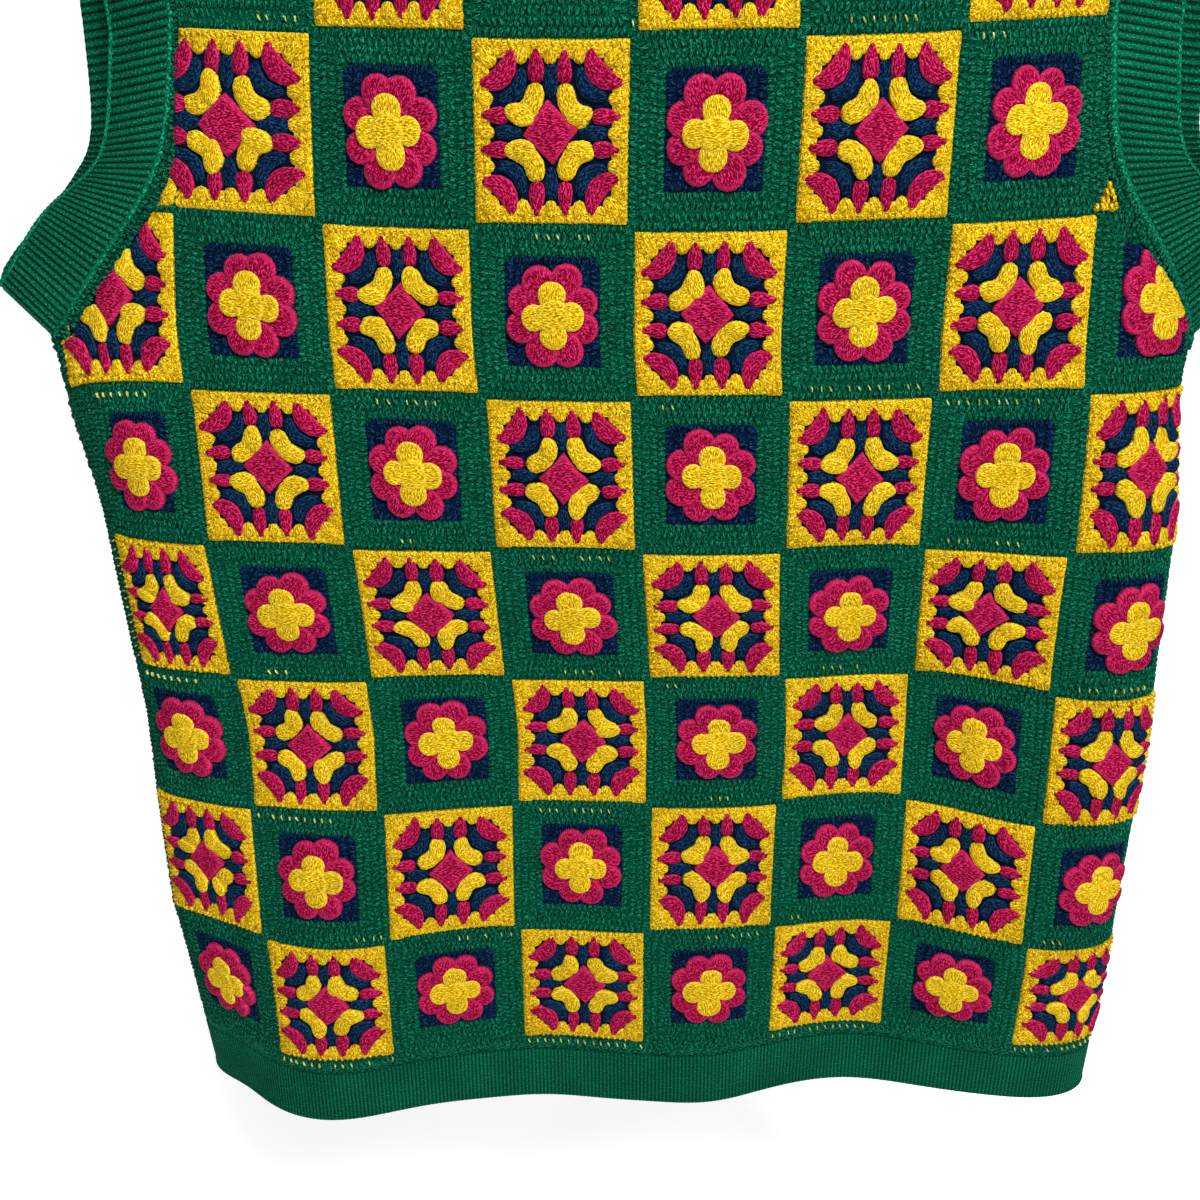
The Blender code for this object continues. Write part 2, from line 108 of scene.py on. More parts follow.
Section = namedtuple(
    "Section", "height mid_x mid_y turn_left turn_right bulge lift_left lift_mid lift_right"
    " drop_left drop_right back_y")
SECTIONS = (
    Section(0.0, 3, -23, 58, 85, 7, 4, 17, 0, 0, 0, 50),
    Section(110.0, 4, -18, 56, 92, -8, 11, 12, -7, 0, 0, 46),
    Section(220.0, 6, -7, 64, 81, -14, 10, 9, -10, 0, 0, 52),
    Section(330.0, 1, -15, 65, 87, -7, 8, 0, -6, 0, 0, 52),
    Section(385.0, 0, -14, 40, 92, 3, 10, -1, -2, 11, 0, 56),
    Section(420.0, -2, -13, 28, 66, 11, 11, -2, 2, 8, 10, 58),
    Section(470.0, -1, -14, 60, 88, 26, 14, -2, 5, 0, 0, 59),
    Section(540.0, 1, -15, 71, 83, 51, 18, -1, 9, 0, 0, 59),
    Section(700.0, 1, -5, 71, 83, 30, 18, 0, 9, 0, 0, 56),
)
SEAM_DROP_LENGTH = 28.0
SIDE_TURN_LENGTH = 30.0
BACK_TURN_LENGTH = 24.0

Fold = namedtuple("Fold", "chest_col hem_col starts full width depth")
FRONT_FOLDS = (
    Fold(2.5, 1.4, 345, 49, 49, -17),
    Fold(6.2, 6.0, 497, 221, 74, 28),
    Fold(7.8, 6.3, 393, 132, 42, -7),
    Fold(4.1, 4.5, 148, -30, 28, -4),
    Fold(3.3, 3.2, 232, 12, 33, 4),
    Fold(0.5, 0.4, 268, 67, 26, 5),
)
BACK_FOLDS = (
    Fold(1.9, 2.3, 420, 120, 52, 13),
    Fold(3.6, 3.9, 330, 60, 44, -12),
    Fold(5.4, 5.2, 380, 90, 48, 14),
    Fold(6.7, 6.8, 240, 30, 34, -8),
)
CHEST_HEIGHT = 540.0
EDGE_FADE = 40.0
SEAM_FADE = 12.0
SHOULDER_FADE = 4.0

LINE = np.linspace(-SIDE_STRIP, PANEL_WIDTH + SIDE_STRIP, 135)
LINE_STEP = LINE[1] - LINE[0]
ROW_STEP = 3.0
ROWS = np.arange(0.0, 714.0, ROW_STEP)
FRONT, BACK = "front", "back"
SIDES = (FRONT, BACK)

# ---- looks ----
SURFACE_STEP = 6.0          # between points along a panel's edge
GROUND_ROWS, GROUND_COLUMNS = 11, 10        # the ground mesh's faces in one square, up and across
LEAST_FACE = 2.0            # no point of it lies nearer to the panel's edge
GROUND_DEPTH = 0.25         # how far the ground lies under the cloth's face
OPENING_STRIP = 6.5         # width of plain ground along the openings
CAMERA_PLACE = (9.0, -523.0, -194.1)
CAMERA_PITCH, CAMERA_YAW, CAMERA_ROLL = 20.5, -2.9, -1.1
CAMERA_FOCAL = 1180.0       # in pixels of a frame 1200 pixels wide
PHOTO_SIZE = 1200
FLOOR_DROP = 0.30           # how far the floor lies under the vest, in metres
FLOOR_BEND = 1.2            # the radius of its curve up into the backdrop
FLOOR_GLOW = 0.40
WORLD_LIGHT = 0.20
# Places and sizes of the lights in metres, and their power in watts.
Light = namedtuple("Light", "name place target size power")
LIGHTS = (
    Light("key_light", (0.6, -1.2, 1.0), (0.0, 0.0, -0.35), (0.7, 0.5), 51.0),
    Light("fill_light", (-1.3, -1.2, 0.4), (0.0, 0.0, -0.35), (1.2, 1.2), 2.0),
    Light("back_light", (0.3, 1.7, 0.9), (0.0, 0.0, -0.3), (1.4, 1.0), 14.0),
)

draw = random.Random(4)


# ---- the cloth's surface ----
def smooth_step(value):
    value = np.clip(value, 0.0, 1.0)
    return value * value * (3.0 - 2.0 * value)


def section_at(height):
    """The section table read at one height."""
    heights = [row.height for row in SECTIONS]
    return Section(*[np.interp(height, heights, [row[i] for row in SECTIONS])
                     for i in range(len(Section._fields))])


def fold_slope(folds, height):
    """Slope of all the folds along the section at one height."""
    slope = np.zeros_like(LINE)
    for fold in folds:
        column = fold.hem_col + (fold.chest_col - fold.hem_col) * height / CHEST_HEIGHT
        strength = smooth_step((fold.starts - height) / (fold.starts - fold.full))
        part = (LINE - column * CELL_WIDTH) / fold.width
        slope -= fold.depth * strength * np.exp(-part * part) * 2.0 * part / fold.width
    return slope


def walk(angles):
    """X and Y along a line of cloth that heads in the given directions, from its middle."""
    middle = len(angles) // 2
    line = []
    for part in (np.cos(angles), np.sin(angles)):
        steps = (part[1:] + part[:-1]) * 0.5 * LINE_STEP
        places = np.concatenate([[0.0], np.cumsum(steps)])
        line.append(places - places[middle])
    return line


def cloth_line(side, height):
    """X, Y and lift along one side's cloth at a height."""
    row = section_at(height)
    part = LINE / PANEL_WIDTH
    from_left, from_right = LINE, PANEL_WIDTH - LINE
    bulge = row.bulge * math.pi / PANEL_WIDTH * np.cos(math.pi * part)
    if side == FRONT:
        angles = (-math.radians(row.turn_left) * np.exp(-from_left / SIDE_TURN_LENGTH)
                  + math.radians(row.turn_right) * np.exp(-from_right / SIDE_TURN_LENGTH)
                  - bulge + fold_slope(FRONT_FOLDS, height))
        x, y = walk(angles)
        x, y = x + row.mid_x, y + row.mid_y
        lift = (row.lift_left * (1 - part) * (1 - 2 * part) + 4 * row.lift_mid * part * (1 - part)
                + row.lift_right * part * (2 * part - 1)
                - row.drop_left * np.exp(-from_left / SEAM_DROP_LENGTH)
                - row.drop_right * np.exp(-from_right / SEAM_DROP_LENGTH))
        return x, y, lift
    angles = (math.radians(180 - row.turn_left) * np.exp(-from_left / BACK_TURN_LENGTH)
              - math.radians(180 - row.turn_right) * np.exp(-from_right / BACK_TURN_LENGTH)
              + fold_slope(BACK_FOLDS, height))
    x, y = walk(angles)
    x, y = x + row.mid_x, y + row.back_y
    front_x, front_y, front_lift = cloth_line(FRONT, height)
    drawn = 1.0 - smooth_step((height - UNDERARM) / ARMHOLE_DEPTH_CLOTH)
    near_left = np.exp(-(from_left + SIDE_STRIP) / EDGE_FADE) * drawn
    near_right = np.exp(-(from_right + SIDE_STRIP) / EDGE_FADE) * drawn
    x = x + near_left * (front_x[0] - x[0]) + near_right * (front_x[-1] - x[-1])
    y = y + near_left * (front_y[0] - y[0]) + near_right * (front_y[-1] - y[-1])
    return x, y, front_lift[0] * (1 - part) + front_lift[-1] * part


def shoulder_z(column):
    """Height of the shoulder seam over a column, above the hem."""
    part = (abs(column - COLUMNS / 2) - NECK_HALF) / (COLUMNS / 2 - SHOULDER_END - NECK_HALF)
    return NECK_POINT_Z + (SHOULDER_TIP_Z - NECK_POINT_Z) * part


def shoulder_cloth(column):
    """Cloth height of the shoulder seam over a column."""
    return shoulder_z(column) - SHOULDER_RADIUS + SHOULDER_ARC


def cloth_row(side, height):
    """Places along one side's cloth at a height, in millimetres from the origin."""
    x, y, lift = cloth_line(side, height)
    column = LINE / CELL_WIDTH
    arch_foot = shoulder_z(column) - SHOULDER_RADIUS
    turn = np.clip((height - arch_foot) / SHOULDER_ARC, 0.0, 1.0) * math.pi / 2
    rise, level = np.sin(turn), np.cos(turn)
    x = x + ((column - COLUMNS / 2) * CELL_WIDTH - x) * rise * rise
    y = SHOULDER_Y + (y - SHOULDER_Y) * level
    z = np.where(height <= arch_foot, height + lift,
                 arch_foot + SHOULDER_RADIUS * rise + lift * level * level)
    return np.stack([x, y, z - NECK_POINT_Z], axis=1)


def unit(vectors):
    return vectors / np.maximum(np.linalg.norm(vectors, axis=-1, keepdims=True), 1e-9)


def cloth_grids():
    """Each side's places and outward directions on a fine grid; at a seam both sides share one."""
    places, outwards = {}, {}
    for side in SIDES:
        grid = np.array([cloth_row(side, height) for height in ROWS])
        along = np.gradient(grid, axis=1)
        up = np.gradient(grid, axis=0)
        outward = np.cross(along, up) if side == FRONT else np.cross(up, along)
        below = shoulder_cloth(LINE / CELL_WIDTH)[None, :] - ROWS[:, None]
        outward[:, :, 1] *= 1.0 - np.exp(-np.maximum(below, 0.0) / SHOULDER_FADE)
        places[side], outwards[side] = grid, unit(outward)
    for end, to_seam in ((0, LINE + SIDE_STRIP), (-1, PANEL_WIDTH + SIDE_STRIP - LINE)):
        shared = unit(outwards[FRONT][:, end] + outwards[BACK][:, end])[:, None, :]
        near = np.exp(-to_seam / SEAM_FADE)[None, :, None]
        for side in SIDES:
            outwards[side] = unit(outwards[side] * (1 - near) + shared * near)
    return places, outwards


PLACES, OUTWARDS = cloth_grids()


def place(side, across, height, out):
    """Places moved out of one side's cloth, in metres; all arguments are arrays."""
    column = np.clip((across + SIDE_STRIP) / LINE_STEP, 0, len(LINE) - 1.001)
    row = np.clip(height / ROW_STEP, 0, len(ROWS) - 1.001)
    i, j = column.astype(int), row.astype(int)
    part_i, part_j = (column - i)[:, None], (row - j)[:, None]

    def read(grid):
        low = grid[j, i] * (1 - part_i) + grid[j, i + 1] * part_i
        high = grid[j + 1, i] * (1 - part_i) + grid[j + 1, i + 1] * part_i
        return low * (1 - part_j) + high * part_j

    return (read(PLACES[side]) + unit(read(OUTWARDS[side])) * np.asarray(out)[:, None]) * MM


# ---- outlines in the plane of the cloth ----
def armhole_column(side, height):
    full = FRONT_ARMHOLE if side == FRONT else BACK_ARMHOLE
    part = (height - UNDERARM) / ARMHOLE_DEPTH_CLOTH
    sharpness = 6
    column = full * part / (1 + part ** sharpness) ** (1 / sharpness)
    near_top = smooth_step((height - CHEST_HEIGHT) / (SHOULDER_TIP_Z - CHEST_HEIGHT))
    return column + (SHOULDER_END - full) * near_top


def armhole_edge(side):
    """Points of the left armhole's edge, from the side seam to the shoulder tip."""
    top = shoulder_cloth(SHOULDER_END) - SEAM_GAP / 2
    heights = [UNDERARM]
    while heights[-1] < top - 1.5 * ARMHOLE_RIB_PITCH:
        slanted = heights[-1] < UNDERARM + ARMHOLE_DEPTH_CLOTH
        heights.append(heights[-1] + ARMHOLE_RIB_PITCH * (1.4 if slanted else 2.0))
    heights[-1] = top
    edge = [(armhole_column(side, h) * CELL_WIDTH, h) for h in heights]
    edge[0] = (-SIDE_STRIP + SEAM_GAP / 2, UNDERARM)
    return edge


def neck_edge(side):
    """Points of the neckline from the left neck point to the right one."""
    low = FRONT_NECK if side == FRONT else BACK_NECK
    top = shoulder_cloth(COLUMNS / 2 - NECK_HALF) - SEAM_GAP / 2
    steps = 40 if side == FRONT else 28
    edge = []
    for i in range(steps + 1):
        turn = math.pi * i / steps
        column = COLUMNS / 2 - NECK_HALF * math.cos(turn)
        edge.append((column * CELL_WIDTH, top - (top - low) * math.sin(turn) ** 0.9))
    return edge


def mirrored(points):
    return [(PANEL_WIDTH - across, height) for across, height in reversed(points)]


def filled_in(points, step):
    """A line of points with more between them, no further apart than a step."""
    result = [points[0]]
    for (a0, h0), (a1, h1) in zip(points, points[1:]):
        count = max(1, math.ceil(math.hypot(a1 - a0, h1 - h0) / step))
        result += [(a0 + (a1 - a0) * i / count, h0 + (h1 - h0) * i / count) for i in range(1, count + 1)]
    return result


def panel_outline(side, step):
    """The closed edge of a panel."""
    left, right = -SIDE_STRIP + SEAM_GAP / 2, PANEL_WIDTH + SIDE_STRIP - SEAM_GAP / 2
    left_armhole = armhole_edge(side)
    right_armhole = mirrored(left_armhole)[::-1]
    neck = neck_edge(side)
    corners = ([(left, HEM_RIB), (right, HEM_RIB), (right, UNDERARM)] + right_armhole[1:] + neck[::-1]
               + left_armhole[::-1] + [(left, HEM_RIB)])
    return filled_in(corners, step)[:-1]


OUTLINES = {side: panel_outline(side, SURFACE_STEP) for side in SIDES}


def margins(points, outline):
    """How far each point lies within an outline, and less than zero outside it."""
    points = np.asarray(points, float)
    start = np.asarray(outline, float)
    end = np.roll(start, -1, axis=0)
    x, y = points[:, :1], points[:, 1:]
    x0, y0, x1, y1 = start[:, 0], start[:, 1], end[:, 0], end[:, 1]
    with np.errstate(divide="ignore", invalid="ignore"):
        crossing = ((y0 > y) != (y1 > y)) & (x < x0 + (y - y0) / (y1 - y0) * (x1 - x0))
    within = crossing.sum(axis=1) % 2 == 1
    run = (x1 - x0) ** 2 + (y1 - y0) ** 2
    part = np.clip(((x - x0) * (x1 - x0) + (y - y0) * (y1 - y0)) / run, 0.0, 1.0)
    distance = np.hypot(x0 + part * (x1 - x0) - x, y0 + part * (y1 - y0) - y).min(axis=1)
    return np.where(within, distance, -distance)


# ---- materials ----
class Nodes:
    """A material's node tree with short calls to add nodes."""

    def __init__(self, name):
        self.material = bpy.data.materials.new(name)
        self.material.use_nodes = True
        self.tree = self.material.node_tree
        self.shader = self.tree.nodes["Principled BSDF"]

    def give(self, socket, value):
        """Link an output to a socket, or set the socket to a number, a vector or a colour."""
        if isinstance(value, bpy.types.NodeSocket):
            self.tree.links.new(value, socket)
        else:
            socket.default_value = (*value, 1.0) if socket.type == "RGBA" else value

    def add(self, kind, inputs=None, **settings):
        node = self.tree.nodes.new(kind)
        for key, value in settings.items():
            setattr(node, key, value)
        for key, value in (inputs or {}).items():
            self.give(node.inputs[key], value)
        return node

    def math(self, operation, *values):
        return self.add("ShaderNodeMath", dict(enumerate(values)), operation=operation).outputs[0]

    def mix(self, part, first, second, blend="MIX"):
        inputs = {0: part, 6: first, 7: second}
        return self.add("ShaderNodeMix", inputs, data_type="RGBA", blend_type=blend).outputs[2]

    def ramp(self, value, *stops, interpolation="LINEAR"):
        """A colour ramp; each stop is its position and a colour, or a number for a grey."""
        node = self.add("ShaderNodeValToRGB", {"Fac": value})
        node.color_ramp.interpolation = interpolation
        while len(node.color_ramp.elements) < len(stops):
            node.color_ramp.elements.new(0.5)
        for element, (position, colour) in zip(node.color_ramp.elements, stops):
            element.position = position
            element.color = (*(colour if isinstance(colour, tuple) else (colour,) * 3), 1.0)
        return node.outputs["Color"]

    def shaded(self, body, amount, dark, bright):
        """A colour that goes from dark to bright with a noise."""
        return self.mix(1.0, body, self.ramp(amount, (0.3, dark), (0.7, bright)), "MULTIPLY")

    def noise(self, vector, scale, stretch=(1.0, 1.0, 1.0), detail=1.0, turn=0.0):
        """A noise in a map that is stretched and turned, by degrees."""
        mapped = self.add("ShaderNodeMapping", {"Vector": vector, "Scale": stretch,
                                                "Rotation": (0.0, 0.0, math.radians(turn))})
        return self.add("ShaderNodeTexNoise",
                        {"Vector": mapped.outputs[0], "Scale": scale, "Detail": detail}).outputs["Fac"]

    def uneven_dye(self, body, scale, dark, bright):
        return self.shaded(body, self.noise(self.object_place(), scale), dark, bright)

    def uv(self, name):
        return self.add("ShaderNodeUVMap", uv_map=name).outputs[0]

    def object_place(self):
        return self.add("ShaderNodeTexCoord").outputs["Object"]

    def pair(self, name):
        """The two values of a map."""
        return self.add("ShaderNodeSeparateXYZ", {"Vector": self.uv(name)}).outputs[:2]

    def from_half(self, value):
        """How far a value is from the middle between two whole numbers."""
        return self.math("ABSOLUTE", self.math("SUBTRACT", self.math("FRACT", value), 0.5))


def scaled(colour, factor):
    return tuple(min(channel * factor, 1.0) for channel in colour)


def woolly(nodes, colour, height, tint):
    """Finish a material as brushed wool with a colour, and a height in millimetres as its relief."""
    bump = nodes.add("ShaderNodeBump", {"Height": height, "Strength": 1.0, "Distance": MM})
    for socket, value in (("Normal", bump.outputs[0]), ("Base Color", colour), ("Roughness", 0.92),
                          ("Specular IOR Level", 0.03), ("Sheen Weight", 0.01), ("Sheen Roughness", 0.5),
                          ("Sheen Tint", scaled(tint, 2.0))):
        nodes.give(nodes.shader.inputs[socket], value)
    return nodes.material


YARN_FIBRES = ((35.0, 0.62), (-50.0, 0.66))     # the turn of each set of fibres, and its scale along them
FIBRES_ACROSS = 1.7                             # their scale across
YARN_RELIEF = 1.7


def yarn(name, colour, light, contrast=1.0):
    """Brushed yarn in one colour: crossing fibres, a painted highlight along each cluster's rim, and uneven
    dye.
    """
    nodes = Nodes(name)
    strand = nodes.uv("strand")
    fibres = nodes.math("MAXIMUM", *[nodes.noise(strand, 1.0, (along, FIBRES_ACROSS, 1.0), turn=turn)
                                     for turn, along in YARN_FIBRES])
    body = nodes.ramp(fibres, (0.44, scaled(colour, 1 - 0.70 * contrast)), (0.565, colour), (0.68, light))
    body = nodes.uneven_dye(body, 60.0, 0.88, 1.10)
    # painted highlight: towards each shape's rim the colour goes over to the pale light colour, standing in
    # for the fuzz lit at its edge
    rim = nodes.ramp(nodes.pair("rim")[0], (0.70, 0.0), (0.9, 0.42))
    return woolly(nodes, nodes.mix(rim, body, light), nodes.math("MULTIPLY", fibres, YARN_RELIEF), colour)


ROUNDS = 15                 # worked rounds in a square's width, on the ground alone


def cell_ground(name, granny_stops, brightness):
    """The squares' ground: rounds of colour around each square's middle, with worked stitches."""
    nodes = Nodes(name)
    across, up = nodes.pair("cell")
    odd = nodes.math("MODULO", nodes.math("ADD", nodes.math("FLOOR", across), nodes.math("FLOOR", up)), 2.0)
    from_middle = [nodes.from_half(across), nodes.from_half(up)]
    square, along = nodes.math("MAXIMUM", *from_middle), nodes.math("MINIMUM", *from_middle)
    fibres = nodes.noise(nodes.uv("cell"), 75.0, detail=2.0)
    rough = nodes.math("ADD", square, nodes.math("MULTIPLY_ADD", fibres, 0.03, -0.015))
    granny = nodes.ramp(rough, *granny_stops, interpolation="CONSTANT")
    flower = nodes.ramp(rough, (0.0, NAVY), (0.305, GREEN), interpolation="CONSTANT")
    body = nodes.shaded(nodes.mix(odd, flower, granny), fibres, 0.55 * brightness, 1.25 * brightness)
    rounds = nodes.math("SINE", nodes.math("MULTIPLY", square, 2 * math.pi * ROUNDS))
    stitches = nodes.math("SINE", nodes.math("MULTIPLY_ADD", along, 2 * math.pi * ROUNDS, rounds))
    height = nodes.math("ADD", nodes.math("MULTIPLY", rounds, 0.35),
                        nodes.math("MULTIPLY_ADD", stitches, 0.25, fibres))
    return woolly(nodes, body, height, GREEN)


KNIT_PITCH = 2.2            # from one knitted stitch to the next along a rib


def rib_knit(name, colour, light, groove_shade):
    """Ribbed knitting with a painted highlight on each rib's crest and painted shade in its grooves: u counts
    ribs, v is in millimetres along them.
    """
    nodes = Nodes(name)
    rib, along = nodes.pair("rib")
    beside = nodes.from_half(rib)
    legs = nodes.math("SINE", nodes.math("MULTIPLY_ADD", along, 2 * math.pi / KNIT_PITCH,
                                         nodes.math("MULTIPLY", beside, -7.0)))
    fibres = nodes.noise(nodes.uv("rib"), 1.0, (6.0, 1.0, 1.0))
    body = nodes.ramp(nodes.math("MULTIPLY_ADD", legs, 0.02, fibres),
                      (0.30, scaled(colour, 0.6)), (0.52, colour), (0.76, light))
    # painted highlight along the ribs' crests, and painted shade in the grooves between them, as dark as
    # groove_shade
    groove = nodes.ramp(beside, (0.06, 1.35), (0.24, 0.95), (0.42, groove_shade))
    body = nodes.uneven_dye(nodes.mix(1.0, body, groove, "MULTIPLY"), 40.0, 0.82, 1.12)
    height = nodes.math("MULTIPLY", nodes.math("MULTIPLY_ADD", legs, 0.06, fibres), 0.7)
    return woolly(nodes, body, height, colour)


PINK = (0.275, 0.0012, 0.033)
PINK_LIGHT = (0.74, 0.034, 0.16)
YELLOW = (0.685, 0.398, 0.0012)
YELLOW_LIGHT = (0.98, 0.75, 0.055)
NAVY = (0.0006, 0.009, 0.037)
NAVY_LIGHT = (0.011, 0.062, 0.14)
GREEN = (0.0005, 0.072, 0.034)
GREEN_LIGHT = (0.009, 0.24, 0.143)
PALE, PALE_LIGHT = (0.50, 0.52, 0.10), (0.80, 0.82, 0.30)
# painted shade: the dark ground seen in the gaps between a granny square's clusters
GAP_SHADE = (0.002, 0.008, 0.030)

WOOL = {
    "pink": yarn("pink_wool", PINK, PINK_LIGHT),
    "yellow": yarn("yellow_wool", YELLOW, YELLOW_LIGHT, 0.85),
    "navy": yarn("navy_wool", NAVY, NAVY_LIGHT),
    "green": yarn("green_wool_yarn", GREEN, GREEN_LIGHT),
    "pale": yarn("pale_wool", PALE, PALE_LIGHT, 0.4),
}
# outside, a granny square's ground under its clusters is painted shade, nearly black, up to its yellow border
GROUND_OUTSIDE = cell_ground("squares_between_stitches", ((0.0, GAP_SHADE), (0.38, YELLOW), (0.474, GREEN)), 0.9)
GROUND_INSIDE = cell_ground("squares_inside", ((0.0, PINK), (0.13, YELLOW), (0.24, NAVY), (0.33, PINK),
                                               (0.385, YELLOW), (0.466, GREEN)), 0.8)
# the last number is how dark the painted shade in the ribs' grooves is
RIB = rib_knit("green_rib_knit", GREEN, GREEN_LIGHT, 0.22)
HEM_KNIT = rib_knit("green_hem_knit", scaled(GREEN, 0.92), scaled(GREEN_LIGHT, 0.95), 0.42)
# painted highlight: the bands' chains are the green yarn made almost twice as bright, for light along the
# bands' edges and seams
HIGHLIT_CHAIN_WOOL = yarn("green_chain_painted_highlight", scaled(GREEN, 1.9), scaled(GREEN_LIGHT, 1.6), 0.7)


# ---- meshes ----
def mesh_piece(name, places, faces, uvs, materials, indexes=None):
    """A piece from arrays of places and faces, with maps that hold a pair per vertex."""
    mesh = bpy.data.meshes.new(name)
    mesh.from_pydata(places.tolist(), [], faces.tolist() if isinstance(faces, np.ndarray) else faces)
    corners = np.empty(len(mesh.loops), int)
    mesh.loops.foreach_get("vertex_index", corners)
    for map_name, values in uvs.items():
        layer = mesh.uv_layers.new(name=map_name)
        layer.data.foreach_set("uv", values[corners].astype(np.float32).ravel())
    for surface in materials:
        mesh.materials.append(surface)
    if indexes is not None:
        mesh.polygons.foreach_set("material_index", indexes)
    mesh.polygons.foreach_set("use_smooth", [True] * len(mesh.polygons))
    mesh.update()
    thing = bpy.data.objects.new(name, mesh)
    bpy.context.scene.collection.objects.link(thing)
    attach(thing, "root")
    return thing


BENT_RINGS, STRAIGHT_RINGS = 7, 5
# A patch's cross-section, bent or straight: part of its half width and of its height.
BENT_SECTION = ((-1.0, 0.0), (-0.88, 0.62), (-0.45, 0.97), (0.0, 1.0), (0.45, 0.97), (0.88, 0.62),
                (1.0, 0.0))
STRAIGHT_SECTION = ((-1.0, 0.0), (-0.84, 0.66), (0.0, 1.0), (0.84, 0.66), (1.0, 0.0))
DISC_SPOKES = 16
# A disc's rings: part of its radius and of its height.
DISC_RINGS = ((1.0, 0.0), (0.93, 0.62), (0.68, 0.96))
DISC_MIDDLE = 0.97          # the height of its middle
STITCH_FOOT = -0.35         # where a shape without a base starts, out of the cloth's face
FOOT_RISE, STITCH_RISE = 0.4, 0.6   # how much of its base a patch's foot and a stitch's foot rise by
POINT_LENGTH = 2.2          # a pointed end's length, in half widths
EDGE_STRIP = 4.6            # clusters are cut off this far from the panel's edge, and further in at the
UNDERARM_STRIP = 9.0        # slanted foot of the armholes
STRIP_TAPER = 55.0, 40.0    # where over the underarm that strip starts to narrow, and over what height
CUT_SLOPE = 2.0             # how far past the cut a cut-off shape reaches the ground
LEAST_REST = 1.2            # a shape that would reach less far in than this is left out
STITCH_MARGIN = 0.3         # a stitch with an end nearer to the cut than this is left out


def run_lengths(points):
    """How far along a line of points each of them lies."""
    return np.concatenate([[0.0], np.cumsum(np.linalg.norm(np.diff(points, axis=0), axis=1))])


def strip_width(flat, side):
    """How wide the plain strip along the panel's edge is at each point."""
    height = flat[:, 1]
    starts, length = STRIP_TAPER
    slanted = (height > UNDERARM - 2.0) * (1.0 - smooth_step((height - UNDERARM - starts) / length))
    return EDGE_STRIP + (UNDERARM_STRIP - EDGE_STRIP) * slanted * (side == FRONT)


def cut_off(flat, out, foot, side):
    """A shape with the part too near the panel's edge moved in and sunk, or None if all of it is."""
    sunk, probe = np.zeros(len(flat)), 0.5
    for _ in range(2):
        within = margins(flat, OUTLINES[side]) - strip_width(flat, side)
        if within.max() < LEAST_REST:
            return None, None
        short = np.maximum(-within, 0.0)
        if not short.any():
            break
        sunk = np.maximum(sunk, short)
        slope = np.stack([margins(flat + step, OUTLINES[side]) - within - strip_width(flat, side)
                          for step in ((probe, 0.0), (0.0, probe))], axis=1)
        flat = flat + unit(slope) * short[:, None]
    return flat, foot + (out - foot) * np.clip(1.0 - sunk / CUT_SLOPE, 0.0, 1.0)


